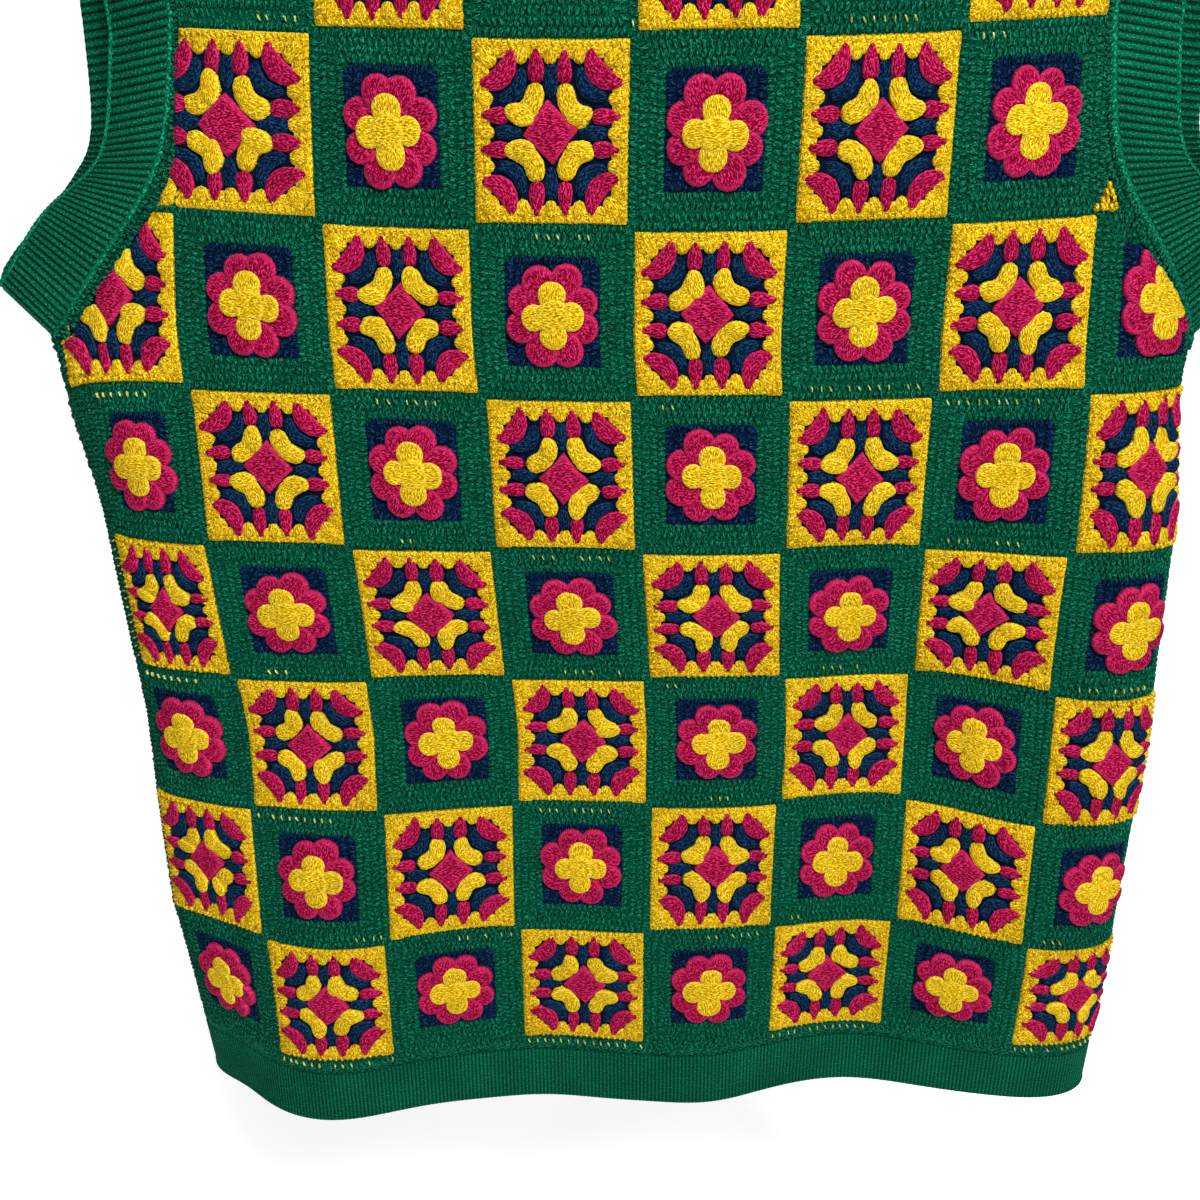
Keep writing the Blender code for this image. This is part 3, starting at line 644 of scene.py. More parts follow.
class Patches:
    """Closed raised shapes of yarn of one colour on one side, made into one mesh."""

    def __init__(self, side, stays_in):
        self.side, self.stays_in = side, stays_in
        self.flat, self.out, self.strand, self.rim, self.faces = [], [], [], [], []
        self.count, self.stitches = 0, []

    def keep(self, *arrays):
        """Add closed shapes: their points, how far out, two maps, and faces that count from zero."""
        for kept, array in zip((self.flat, self.out, self.strand, self.rim), arrays):
            kept.append(array)
        self.faces.append(arrays[-1] + self.count)
        self.count += len(arrays[0])

    def put(self, flat, out, strand, rim, faces):
        """Add one closed shape, cut off at the panel's edges."""
        flat, out = cut_off(flat, out, out.min(), self.side)
        if flat is not None:
            # rim: how far out towards the shape's edge each point lies, which sets the painted highlight
            # along its rim
            rim = np.stack([rim, np.zeros_like(rim)], axis=1)
            self.keep(flat, out, strand + (draw.uniform(0, 900), draw.uniform(0, 900)), rim, faces)

    def strip(self, left, right, relief, base=0.0, pointed=(0.0, 0.0), square_ends=False,
              rings=BENT_RINGS, section=BENT_SECTION):
        """A raised patch between two edges, given by pairs of points along it."""
        left, right = np.asarray(left, float), np.asarray(right, float)
        lengths = run_lengths((left + right) / 2)
        if square_ends:
            at = np.concatenate([[0.0], np.linspace(0.0, 1.0, rings), [1.0]])
        else:
            even = np.linspace(0.0, 1.0, rings + 2)
            at = (1 - np.cos(even * math.pi)) / 4 + even / 2
        where = at * lengths[-1]
        edges = []
        for edge in (left, right):
            line = np.stack([np.interp(where, lengths, edge[:, k]) for k in range(2)], axis=1)
            if len(edge) > 2:
                line[1:-1] = line[1:-1] * 0.5 + (line[:-2] + line[2:]) * 0.25
            edges.append(line)
        line, half = (edges[0] + edges[1]) / 2, (edges[0] - edges[1]) / 2
        width = np.linalg.norm(half, axis=1)
        shape = np.ones(rings + 2)
        if not square_ends:
            to_end = np.minimum(where, lengths[-1] - where) / np.maximum(width, 0.1)
            point = np.where(at < 0.5, *pointed)
            rounding = np.sqrt(np.clip(1 - (1 - np.clip(to_end, 0, 1)) ** 2, 0, 1))
            shape = rounding * (1 - point) + np.clip(to_end / POINT_LENGTH, 0, 1) * point
        aside, up = np.array(section).T
        kept = slice(1, rings + 1)
        part = shape[kept, None] * aside
        across = part * width[kept, None]
        flat = line[kept, None, :] + half[kept, None, :] * part[..., None]
        out = base + relief * up * (0.35 + 0.65 * np.sqrt(shape[kept, None]))
        foot = STITCH_FOOT + base * FOOT_RISE
        strand = np.stack([np.broadcast_to(where[kept, None], across.shape), across], axis=2)
        self.put(np.concatenate([flat.reshape(-1, 2), line[:1], line[-1:]]),
                 np.concatenate([np.where(up == 0.0, foot, out).ravel(), [foot, foot]]),
                 np.concatenate([strand.reshape(-1, 2), [[0.0, 0.0], [lengths[-1], 0.0]]]),
                 np.concatenate([np.tile(np.abs(aside), rings), [1.0, 1.0]]),
                 shell_faces(rings, len(section)))

    def ribbon(self, start, end, widths, relief, pointed=(0.0, 0.0), square_ends=False):
        """A raised straight patch; widths are half widths along it, in millimetres."""
        start, end = np.asarray(start, float), np.asarray(end, float)
        part = np.linspace(0.0, 1.0, len(widths))[:, None]
        middle = start + (end - start) * part
        heading = unit(end - start)
        half = np.array([-heading[1], heading[0]]) * np.array(widths)[:, None]
        self.strip(middle + half, middle - half, relief, 0.0, pointed, square_ends,
                   STRAIGHT_RINGS, STRAIGHT_SECTION)

    def disc(self, centre, radii, turn, relief, base=0.0, tilt=0.0, squash=0.0, power=2.0):
        """A raised patch; its first axis heads along turn, tilt lifts one side, and power 2 is round."""
        spokes = np.arange(DISC_SPOKES) * 2 * math.pi / DISC_SPOKES
        reach = (np.abs(np.cos(spokes)) ** power + np.abs(np.sin(spokes)) ** power) ** (-1 / power)
        c, s = math.cos(turn), math.sin(turn)
        foot = STITCH_FOOT + base * FOOT_RISE
        flat, out, strand, rim = [], [], [], []
        for part, height in DISC_RINGS:
            x = radii[0] * part * reach * np.cos(spokes)
            y = radii[1] * part * reach * np.sin(spokes) * (1 + squash * np.cos(spokes))
            flat.append(np.stack([centre[0] + x * c - y * s, centre[1] + x * s + y * c], axis=1))
            lifted = base + relief * height + tilt * y / radii[1]
            out.append(lifted if height else np.full(DISC_SPOKES, foot))
            strand.append(np.stack([x, y], axis=1))
            rim.append(np.full(DISC_SPOKES, part))
        flat.append(np.array([centre, centre]))
        out.append(np.array([foot, base + relief * DISC_MIDDLE]))
        self.put(np.concatenate(flat), np.concatenate(out), np.concatenate(strand + [np.zeros((2, 2))]),
                 np.concatenate(rim + [np.zeros(2)]), shell_faces(len(DISC_RINGS), DISC_SPOKES)[:, ::-1])

    def stitch(self, start, end, half_width, relief, base=0.0):
        """A short thick loop of yarn from start to end."""
        self.stitches.append((*start, *end, half_width, relief, base,
                              draw.uniform(0, 900), draw.uniform(0, 900)))

    def lay_stitches(self):
        """Make the stitches that lie within the panel into shapes of their own."""
        if not self.stitches:
            return
        rows = np.array(self.stitches)
        within = [margins(ends, OUTLINES[self.side]) - strip_width(ends, self.side) * self.stays_in
                  for ends in (rows[:, 0:2], rows[:, 2:4])]
        kept = np.minimum(*within) > STITCH_MARGIN
        rows = rows[kept]
        start, run = rows[:, 0:2], rows[:, 2:4] - rows[:, 0:2]
        half_width, relief, base, shift_along, shift_across = (rows[:, k:k + 1] for k in range(4, 9))
        length = np.linalg.norm(run, axis=1)[:, None]
        sideways = np.stack([-run[:, 1], run[:, 0]], axis=1) / length
        along, across, up = np.array(STITCH_POINTS).T
        aside = across * half_width
        flat = start[:, None] + run[:, None] * along[:, None] + sideways[:, None] * aside[..., None]
        out = np.where(up > 0, base + relief * up, STITCH_FOOT + base * STITCH_RISE)
        strand = np.stack([along * length + shift_along, aside + shift_across], axis=2)
        count = len(STITCH_POINTS)
        faces = shell_faces(2, 3) + (np.arange(len(rows)) * count)[:, None, None]
        self.keep(flat.reshape(-1, 2), out.ravel(), strand.reshape(-1, 2),
                  np.zeros((len(rows) * count, 2)), faces.reshape(-1, 3))


def shell_faces(rings, n):
    """Triangles of a closed shape: rings of n points each, then a first tip and a last one."""
    faces = []
    i = np.arange(n)
    j = (i + 1) % n
    for low in np.arange(rings - 1) * n:
        faces += [(low + i, low + i + n, low + j + n), (low + i, low + j + n, low + j)]
    last = (rings - 1) * n
    faces += [(i, j, np.full(n, rings * n)), (last + j, last + i, np.full(n, rings * n + 1))]
    return np.concatenate([np.stack(corners, axis=1) for corners in faces])


# A stitch's points: part of its length, of its half width and of its height.
STITCH_POINTS = ((0.22, -1.0, 0.0), (0.22, 0.0, 1.0), (0.22, 1.0, 0.0), (0.78, -1.0, 0.0), (0.78, 0.0, 1.0),
                 (0.78, 1.0, 0.0), (0.0, 0.0, 0.0), (1.0, 0.0, 0.0))


class Yarns:
    """The patches of every colour on one side."""

    def __init__(self, side):
        self.side = side
        self.sets = {colour: Patches(side, colour not in ("green", "pale")) for colour in WOOL}

    def __getitem__(self, colour):
        return self.sets[colour]

    def pieces(self):
        made = []
        for colour, patches in self.sets.items():
            patches.lay_stitches()
            flat, out, faces = (np.concatenate(part) for part in (patches.flat, patches.out, patches.faces))
            maps = {"strand": np.concatenate(patches.strand), "rim": np.concatenate(patches.rim)}
            piece = mesh_piece(f"{self.side}_{colour}_stitches",
                               place(self.side, flat[:, 0], flat[:, 1], out),
                               faces[:, ::-1] if self.side == BACK else faces, maps, [WOOL[colour]])
            made.append(piece)
        return made


# ---- squares ----
CUT_COLUMN, CUT_ROW, CUT_STRETCH = 1, 6, 13.0   # the front squares that the left armhole cuts are wider
# Where the first front column starts, row by row: the plain strip beside it is wider further up.
FIRST_COLUMN_STARTS = (0.0, 0.0, 3.0, 12.0, 11.0)


def cell_box(side, column, row):
    """A square's left edge, low edge and width."""
    left, low = column * CELL_WIDTH, HEM_RIB + HEM_STRIP + row * CELL_HEIGHT
    if side == FRONT and column == CUT_COLUMN and row >= CUT_ROW:
        return left - CUT_STRETCH, low, CELL_WIDTH + CUT_STRETCH
    if side == FRONT and column == 0 and row < len(FIRST_COLUMN_STARTS):
        start = FIRST_COLUMN_STARTS[row]
        return left + start, low, CELL_WIDTH - start
    return left, low, CELL_WIDTH


def first_start(side, heights):
    """Where the first column starts at each height."""
    rows = np.floor((np.asarray(heights) - HEM_RIB - HEM_STRIP) / CELL_HEIGHT).astype(int)
    count = len(FIRST_COLUMN_STARTS)
    shifted = (rows >= 0) & (rows < count) & (side == FRONT)
    return np.where(shifted, np.array(FIRST_COLUMN_STARTS)[np.clip(rows, 0, count - 1)], 0.0)


GRANNY_INSET = (1.7, 1.5)   # how much less a granny square takes at each side than its place in the grid
MOTIF_SHIFT, MOTIF_TURN = 0.022, 0.06   # how far a motif's middle is off, in parts of the square, and turned


class Cell:
    """One square's own frame: (x, y) from -0.5 to 0.5 about its middle."""

    def __init__(self, side, column, row, inset=(0.0, 0.0)):
        left, low, width = cell_box(side, column, row)
        self.middle = (left + width / 2, low + CELL_HEIGHT / 2)
        self.size = (width - 2 * inset[0], CELL_HEIGHT - 2 * inset[1])
        self.shift = (draw.uniform(-MOTIF_SHIFT, MOTIF_SHIFT), draw.uniform(-MOTIF_SHIFT, MOTIF_SHIFT))
        self.turn = draw.uniform(-MOTIF_TURN, MOTIF_TURN)

    def spot(self, x, y, wander=0.0):
        """A place in the square; its motif is a little off and turned, and its edges aren't."""
        near = max(0.0, 1.0 - 2.1 * max(abs(x), abs(y)))
        x, y = (x + (self.shift[0] - y * self.turn) * near, y + (self.shift[1] + x * self.turn) * near)
        return (self.middle[0] + (x + draw.uniform(-wander, wander)) * self.size[0],
                self.middle[1] + (y + draw.uniform(-wander, wander)) * self.size[1])


# Clusters of a granny square, in parts of the square from its middle. A corner cluster lies between an
# inner and an outer edge, from its upright arm's end to its level arm's end, and is mirrored to the four
# corners; a leaf runs straight.
Corner = namedtuple("Corner", "colour inner outer pointed relief")
CORNERS = (
    Corner("yellow",
           ((0.040, 0.272), (0.022, 0.210), (0.044, 0.128), (0.080, 0.080), (0.134, 0.044), (0.210, 0.020),
            (0.272, 0.040)),
           ((0.140, 0.278), (0.164, 0.226), (0.172, 0.190), (0.178, 0.176), (0.194, 0.170), (0.226, 0.160),
            (0.282, 0.142)), 0.05, 2.1),
    Corner("navy",
           ((0.152, 0.352), (0.150, 0.280), (0.168, 0.212), (0.186, 0.188), (0.212, 0.168), (0.280, 0.148),
            (0.352, 0.150)),
           ((0.220, 0.362), (0.228, 0.310), (0.242, 0.272), (0.256, 0.256), (0.272, 0.242), (0.310, 0.226),
            (0.362, 0.218)), 0.15, 1.7),
    Corner("pink",
           ((0.246, 0.466), (0.212, 0.392), (0.212, 0.312), (0.250, 0.250), (0.314, 0.212), (0.394, 0.210),
            (0.468, 0.244)),
           ((0.274, 0.468), (0.302, 0.420), (0.336, 0.376), (0.356, 0.356), (0.377, 0.334), (0.421, 0.300),
            (0.470, 0.272)), 0.2, 2.1),
)
Leaf = namedtuple("Leaf", "colour x0 y0 x1 y1 width pointed_in pointed_out relief")
CORNER_LEAVES = (
    Leaf("pink", 0.090, 0.255, 0.093, 0.466, 0.058, 0.0, 0.3, 2.1),
    Leaf("pink", 0.260, 0.088, 0.464, 0.092, 0.058, 0.0, 0.3, 2.1),
    Leaf("yellow", 0.186, 0.362, 0.182, 0.475, 0.048, 0.0, 0.0, 1.5),
    Leaf("yellow", 0.366, 0.186, 0.475, 0.182, 0.047, 0.0, 0.0, 1.5),
    Leaf("yellow", 0.352, 0.352, 0.460, 0.460, 0.066, 0.1, 0.0, 1.4),
)
MIDDLE_LEAVES = (
    Leaf("navy", 0.0, 0.176, 0.0, 0.376, 0.052, 0.4, 0.1, 1.9),
    Leaf("navy", 0.170, 0.0, 0.376, 0.0, 0.054, 0.4, 0.1, 1.9),
    Leaf("yellow", 0.0, 0.360, 0.0, 0.475, 0.044, 0.0, 0.0, 1.5),
    Leaf("yellow", 0.362, 0.0, 0.475, 0.0, 0.044, 0.0, 0.0, 1.5),
)
LEAF_WIDTHS = {"pink": (0.75, 1.0, 0.97, 0.8, 0.55, 0.3), "navy": (0.75, 1.0, 1.0, 0.8),
               "yellow": (0.8, 1.0, 1.1, 1.1)}
STAR = (0.186, 0.182)       # the reach of the star in a granny square's middle
STAR_POWER = 1.02
BORDER = 0.446              # where a granny square's yellow border runs, and its half width
BORDER_WIDTH = 0.054


# Rows of stitches: pitch, length, half width, relief and base in millimetres, and how far a stitch leans,
# in its length.
Stitches = namedtuple("Stitches", "pitch length half_width relief base lean")
ROUND_STITCHES = Stitches(2.7, 4.5, 1.5, 0.5, 0.0, 0.24)
BORDER_POSTS = Stitches(3.0, 3.5, 1.15, 1.15, 0.5, 0.34)
INNER_POSTS = Stitches(3.0, 2.9, 1.15, 1.15, 0.5, -0.1)
SCRAP_STITCHES = Stitches(2.4, 3.6, 1.4, 1.0, 1.0, 0.34)
PLAIN_STITCHES = Stitches(2.7, 4.2, 1.5, 0.5, 0.0, 0.34)
OPENING_STITCHES = Stitches(2.7, 3.8, 1.4, 0.9, 0.5, 0.34)


def stitch_row(patches, start, end, kind, way=1):
    """Stitches across a straight line that lean along it, or against it where way is -1."""
    run = math.hypot(end[0] - start[0], end[1] - start[1])
    count = max(1, round(run / kind.pitch))
    dx, dy = (end[0] - start[0]) / run, (end[1] - start[1]) / run
    half = kind.length / 2
    for i in range(count):
        along = run / count * (i + 0.5)
        x = start[0] + dx * along + draw.uniform(-0.25, 0.25)
        y = start[1] + dy * along + draw.uniform(-0.25, 0.25)
        lean = (kind.lean * way + draw.uniform(-0.18, 0.18)) * half
        patches.stitch((x - dx * lean - dy * half, y - dy * lean + dx * half),
                       (x + dx * lean + dy * half, y + dy * lean - dx * half),
                       kind.half_width * draw.uniform(0.85, 1.15), kind.relief * draw.uniform(0.75, 1.25),
                       kind.base)


def square_round(patches, column, row, insets, kind, way=1):
    """One round of stitches along a square's sides, at insets from its left, right, low and top."""
    left, low, width = cell_box(patches.side, column, row)
    x0, x1 = left + insets[0], left + width - insets[1]
    y0, y1 = low + insets[2], low + CELL_HEIGHT - insets[3]
    corners = ((x0, y0), (x1, y0), (x1, y1), (x0, y1))
    for start, end in zip(corners, corners[1:] + corners[:1]):
        stitch_row(patches, start, end, kind, way)


# How far clusters, the ends of leaves and the points of edges lie from their regular places, in parts of
# the square.
WANDER, LEAF_WANDER, EDGE_WANDER = 0.008, 0.004, 0.0035


def granny_square(yarns, column, row):
    """Four rounds of clusters about a small star, with a yellow border."""
    cell = Cell(yarns.side, column, row, GRANNY_INSET)
    border = (BORDER_WIDTH * cell.size[0],) * 2
    for way in (-1, 1):
        at = BORDER * way
        for ends in (((-0.5, at), (0.5, at)), ((at, -0.5), (at, 0.5))):
            yarns["yellow"].ribbon(*[cell.spot(*end) for end in ends], border, 0.85 + 0.1 * way,
                                   square_ends=True)
    yarns["pink"].disc(cell.spot(0, 0), (STAR[0] * cell.size[0], STAR[1] * cell.size[1]),
                       draw.uniform(-0.12, 0.12), 1.7, 0.6, power=STAR_POWER + draw.uniform(-0.12, 0.06))
    for corner, sx, sy in product(CORNERS, (-1, 1), (-1, 1)):
        corner_cluster(yarns, cell, corner, sx, sy)
    leaves = list(product(CORNER_LEAVES, (-1, 1), (-1, 1)))
    leaves += [(leaf, way, way) for leaf in MIDDLE_LEAVES for way in (-1, 1)]
    for leaf, sx, sy in leaves:
        half = leaf.width * cell.size[0] * draw.uniform(0.92, 1.08)
        lean = draw.uniform(-WANDER, WANDER)
        widths = [half * part * draw.uniform(0.95, 1.05) for part in LEAF_WIDTHS[leaf.colour]]
        yarns[leaf.colour].ribbon(cell.spot(leaf.x0 * sx, leaf.y0 * sy, LEAF_WANDER),
                                  cell.spot(leaf.x1 * sx + lean, leaf.y1 * sy + lean, LEAF_WANDER), widths,
                                  leaf.relief * draw.uniform(0.9, 1.1), (leaf.pointed_in, leaf.pointed_out))
    for further, kind in ((1.7, BORDER_POSTS), (4.7, INNER_POSTS)):
        insets = (GRANNY_INSET[0] + further,) * 2 + (GRANNY_INSET[1] + further,) * 2
        square_round(yarns["yellow"], column, row, insets, kind)


def corner_cluster(yarns, cell, corner, sx, sy):
    """One cluster of a round at one of the four corners; a yellow one has a lobe on top."""
    dx, dy = draw.uniform(-WANDER, WANDER), draw.uniform(-WANDER, WANDER)
    swing = draw.uniform(-0.05, 0.05)
    edges = [[cell.spot((x + dx + (y - x) * swing) * sx, (y + dy + (y - x) * swing) * sy, EDGE_WANDER)
              for x, y in edge] for edge in (corner.inner, corner.outer)]
    yarns[corner.colour].strip(*edges, corner.relief * draw.uniform(0.9, 1.1), 0.0, (corner.pointed,) * 2)
    if corner.colour == "yellow":
        lobe_of_corner(yarns["yellow"], cell, sx, sy)


# The upper lobe of a yellow corner cluster: its middle, its half length and half width.
LOBE_PLACE, LOBE_LENGTH, LOBE_WIDTH = (0.092, 0.192), 0.098, 0.060


def lobe_of_corner(patches, cell, sx, sy):
    """A lobe over one arm of a yellow corner cluster, upright or level by chance."""
    x, y = LOBE_PLACE
    upright = draw.random() < 0.5
    if not upright:
        x, y = y, x
    size = cell.size[0] * draw.uniform(0.92, 1.08)
    lean = draw.uniform(-0.1, 0.35) * (1 if upright else -1)
    heading = (math.pi / 2 - lean * sx * sy) if upright else -lean * sx * sy
    patches.disc(cell.spot(x * sx, y * sy, WANDER), (LOBE_LENGTH * size, LOBE_WIDTH * size), heading,
                 2.0, 0.9, 0.2)


FRAME_INSETS = ((0.4, 0.4, 0.6, 0.4), (4.1, 4.1, 4.4, 3.6), (7.8, 7.8, 8.3, 6.8),
                (11.3, 11.3, 12.0, 9.9))
NAVY_INSETS = ((14.9, 14.9, 15.6, 13.0), (18.8, 18.8, 19.6, 16.9))
# A flower's petals: how many, how far out, and their half length and half width in parts of the square;
# relief, base and tilt in millimetres.
Flower = namedtuple("Flower", "count distance length width relief base tilt")
PINK_FLOWER = Flower(8, 0.196, 0.120, 0.106, 1.9, 0.9, 0.7)
YELLOW_FLOWER = Flower(4, 0.113, 0.096, 0.094, 1.5, 2.6, 0.25)
PETAL_SQUASH = 0.12         # how much wider a petal is at its outer end


def petals(patches, cell, flower, first):
    """A ring of round petals, each a little over the next one."""
    for i in range(flower.count):
        turn = first + 2 * math.pi * i / flower.count + draw.uniform(-0.08, 0.08)
        reach = flower.distance * draw.uniform(0.94, 1.05)
        centre = cell.spot(reach * math.cos(turn), reach * math.sin(turn))
        heading = math.atan2(math.sin(turn) * CELL_HEIGHT, math.cos(turn) * CELL_WIDTH)
        size = CELL_WIDTH * draw.uniform(0.93, 1.07)
        radii = (flower.length * size * (1 + 0.07 * abs(math.sin(turn))), flower.width * size)
        patches.disc(centre, radii, heading, flower.relief, flower.base, flower.tilt, PETAL_SQUASH)


TICK_INSET, TICK_PITCH, TICK_LENGTH = 3.7, 4.3, 2.8


def tick_run(patches, start, end):
    """Short pale ticks across a line from start to end, of the neighbour's yarn through the green."""
    run = math.hypot(end[0] - start[0], end[1] - start[1])
    dx, dy = (end[0] - start[0]) / run, (end[1] - start[1]) / run
    for i in range(round(run / TICK_PITCH)):
        if draw.random() < 0.15:
            continue
        along = (i + 0.5) * TICK_PITCH + draw.uniform(-0.5, 0.5)
        x, y = start[0] + dx * along, start[1] + dy * along
        lean, half = draw.uniform(0.0, 0.9), TICK_LENGTH / 2
        patches.stitch((x - dx * lean - dy * half, y - dy * lean + dx * half),
                       (x + dx * lean + dy * half, y + dy * lean - dx * half), 0.4, 0.4, 1.0)


def sewn_through(patches, column, row, inset, low_side):
    """Ticks along part of a join above or below a square."""
    left, low, width = cell_box(patches.side, column, row)
    share = draw.random()
    first, last = sorted((draw.uniform(0.0, 1.0), draw.uniform(0.0, 1.0)))
    if share <= 0.6 and (last - first) * width >= 1.5 * TICK_PITCH and not (row == 0 and low_side):
        tick_run(patches, (left + first * width, low + inset), (left + last * width, low + inset))


def flower_square(yarns, column, row):
    """A green frame around a navy square, with an eight-petalled and a four-petalled flower on it."""
    for colour, rounds in (("green", FRAME_INSETS), ("navy", NAVY_INSETS)):
        for i, insets in enumerate(rounds):
            square_round(yarns[colour], column, row, insets, ROUND_STITCHES, 1 if i % 2 else -1)
    for from_join, low_side in ((TICK_INSET, True), (CELL_HEIGHT - TICK_INSET, False)):
        sewn_through(yarns["pale"], column, row, from_join, low_side)
    cell = Cell(yarns.side, column, row)
    petals(yarns["pink"], cell, PINK_FLOWER, math.pi / 8)
    petals(yarns["yellow"], cell, YELLOW_FLOWER, 0.0)
    yarns["yellow"].disc(cell.spot(0, 0), (0.115 * CELL_WIDTH,) * 2, 0.0, 1.35, 3.15)


SCRAP_COLUMN, SCRAP_ROW = 7, 6      # of this front square the right armhole leaves only a corner
SCRAP_ROWS = ((-3.0, 8.5), (-0.8, 7.5), (1.2, 6.0), (2.6, 4.6))
SCRAP_ROW_STEP = 2.7
WIDE_STRIP_ROWS = (3, 5)            # a plain strip runs beside the first front column between them


def corner_scrap(patches):
    """The small corner that an armhole leaves of a square: a few rows of stitches."""
    left, low, _ = cell_box(FRONT, SCRAP_COLUMN, SCRAP_ROW)
    for i, (start, end) in enumerate(SCRAP_ROWS):
        height = low + 1.2 + SCRAP_ROW_STEP * i
        stitch_row(patches, (left + start, height), (left + end, height), SCRAP_STITCHES)


def plain_rows(yarns):
    """Green stitches on the plain strips: over the hem rib, at the sides, and along the openings."""
    green, pale = yarns["green"], yarns["pale"]
    for height in (HEM_RIB + 2.1, HEM_RIB + 6.0):
        stitch_row(green, (-SIDE_STRIP + 1, height), (PANEL_WIDTH + SIDE_STRIP - 1, height), PLAIN_STITCHES)
    for across in (-2.4, PANEL_WIDTH + 2.4):
        stitch_row(green, (across, HEM_RIB + HEM_STRIP), (across, UNDERARM - 2), PLAIN_STITCHES)
    if yarns.side == FRONT:
        low, high = (cell_box(FRONT, 0, row)[1] for row in WIDE_STRIP_ROWS)
        for across in (1.4, 5.0, 8.6):
            stitch_row(green, (across, low + 1), (across, high - 1), PLAIN_STITCHES)
        across = FIRST_COLUMN_STARTS[WIDE_STRIP_ROWS[0]] - 1.5
        tick_run(pale, (across, low + 3), (across, low + CELL_HEIGHT - 3))
    for column in range(int(yarns.side == FRONT), COLUMNS, 2):
        start, end = column * CELL_WIDTH + 1.5, (column + 1) * CELL_WIDTH - 1.5
        tick_run(pale, (start, HEM_RIB + HEM_STRIP - 2.0), (end, HEM_RIB + HEM_STRIP - 2.0))
    left_armhole = armhole_edge(yarns.side)
    for edge in (left_armhole, mirrored(left_armhole), neck_edge(yarns.side)):
        for (a0, h0), (a1, h1) in zip(edge, edge[1:]):
            distance = math.hypot(a1 - a0, h1 - h0)
            for inset in (3.4, 7.0) if h0 < UNDERARM + 75.0 else (3.4,):
                dx, dy = (h1 - h0) / distance * inset, -(a1 - a0) / distance * inset
                stitch_row(green, (a0 + dx, h0 + dy), (a1 + dx, h1 + dy), OPENING_STITCHES)


def cell_map(side, flat):
    """Which square each point lies in, by its whole part, and where in it."""
    rows = (flat[:, 1] - HEM_RIB - HEM_STRIP) / CELL_HEIGHT
    columns = flat[:, 0] / CELL_WIDTH
    if side == FRONT:
        left, _, width = cell_box(side, CUT_COLUMN, CUT_ROW)
        cut = (rows > CUT_ROW + 0.01) & (columns < CUT_COLUMN + 1)
        start = first_start(side, flat[:, 1] - 0.01)
        columns = np.where(columns < 1, (flat[:, 0] - start) / (CELL_WIDTH - start), columns)
        columns = np.where(cut, CUT_COLUMN + (flat[:, 0] - left) / width, columns)
    return np.stack([columns + (side == BACK), rows], axis=1)


def is_plain(side, flat):
    """Whether each point lies on the plain green strips along the sides, the hem and the openings."""
    _, scrap_low, _ = cell_box(side, SCRAP_COLUMN, SCRAP_ROW)
    at_opening = (flat[:, 1] > UNDERARM) & (margins(flat, OUTLINES[side]) < OPENING_STRIP)
    in_scrap = (flat[:, 0] > SCRAP_COLUMN * CELL_WIDTH) & (flat[:, 1] > scrap_low) & (side == FRONT)
    at_side = (flat[:, 0] < first_start(side, flat[:, 1]) + 0.5) | (flat[:, 0] > PANEL_WIDTH)
    return at_side | (flat[:, 1] < HEM_RIB + HEM_STRIP) | at_opening | in_scrap


def panel_ground(side):
    """The closed ground of a panel under its stitches, with the squares' colours inside it."""
    outline = OUTLINES[side]
    levels = [HEM_RIB + HEM_STRIP + CELL_HEIGHT * k / GROUND_ROWS
              for k in range(-1, SQUARE_ROWS * GROUND_ROWS)]
    grid = [(CELL_WIDTH * i / GROUND_COLUMNS, h) for h in levels for i in range(COLUMNS * GROUND_COLUMNS + 1)]
    kept = margins(grid, outline) > LEAST_FACE
    points = list(outline) + [point for point, keep in zip(grid, kept) if keep]
    ring = np.arange(len(outline))
    after = (ring + 1) % len(outline)
    edges = np.stack([ring, after], axis=1).tolist()
    result = delaunay_2d_cdt([Vector(point) for point in points], edges, [], 1, 1e-5)
    origins = [old[0] for old in result[3]]
    faces = np.array([[origins[i] for i in face] for face in result[2] if len(face) == 3])
    flat = np.array(points)
    count = len(flat)
    places = [place(side, flat[:, 0], flat[:, 1], np.full(count, -depth)) for depth in (GROUND_DEPTH, WALL)]
    rim = np.concatenate([np.stack([ring, ring + count, after + count], axis=1),
                          np.stack([ring, after + count, after], axis=1)])
    all_faces = np.concatenate([faces, faces[:, ::-1] + count, rim])
    if side == BACK:
        all_faces = all_faces[:, ::-1]
    cell = np.tile(cell_map(side, flat), (2, 1))
    indexes = np.zeros(len(all_faces), int)
    indexes[len(faces):] = 1
    indexes[is_plain(side, np.tile(flat, (2, 1))[all_faces].mean(axis=1))] = 2
    piece = mesh_piece(f"{side}_squares", np.concatenate(places), all_faces,
                       {"cell": cell, "strand": cell * 60.0, "rim": cell * 0.0},
                       [GROUND_OUTSIDE, GROUND_INSIDE, WOOL["green"]], indexes)
    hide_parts(f"{side}_panel")
    return piece


def panel(side):
    ground = panel_ground(side)
    yarns = Yarns(side)
    for row, column in product(range(SQUARE_ROWS), range(COLUMNS)):
        if (side, column, row) == (FRONT, SCRAP_COLUMN, SCRAP_ROW):
            corner_scrap(yarns["yellow"])
        elif (row + column) % 2 == (side == BACK):
            flower_square(yarns, column, row)
        else:
            granny_square(yarns, column, row)
    plain_rows(yarns)
    pieces = yarns.pieces()


# ---- ribs ----
COLUMNS_PER_RIB = 4
RIB_POWER = 0.7             # less than 1, so that ribs are round and the grooves between them narrow
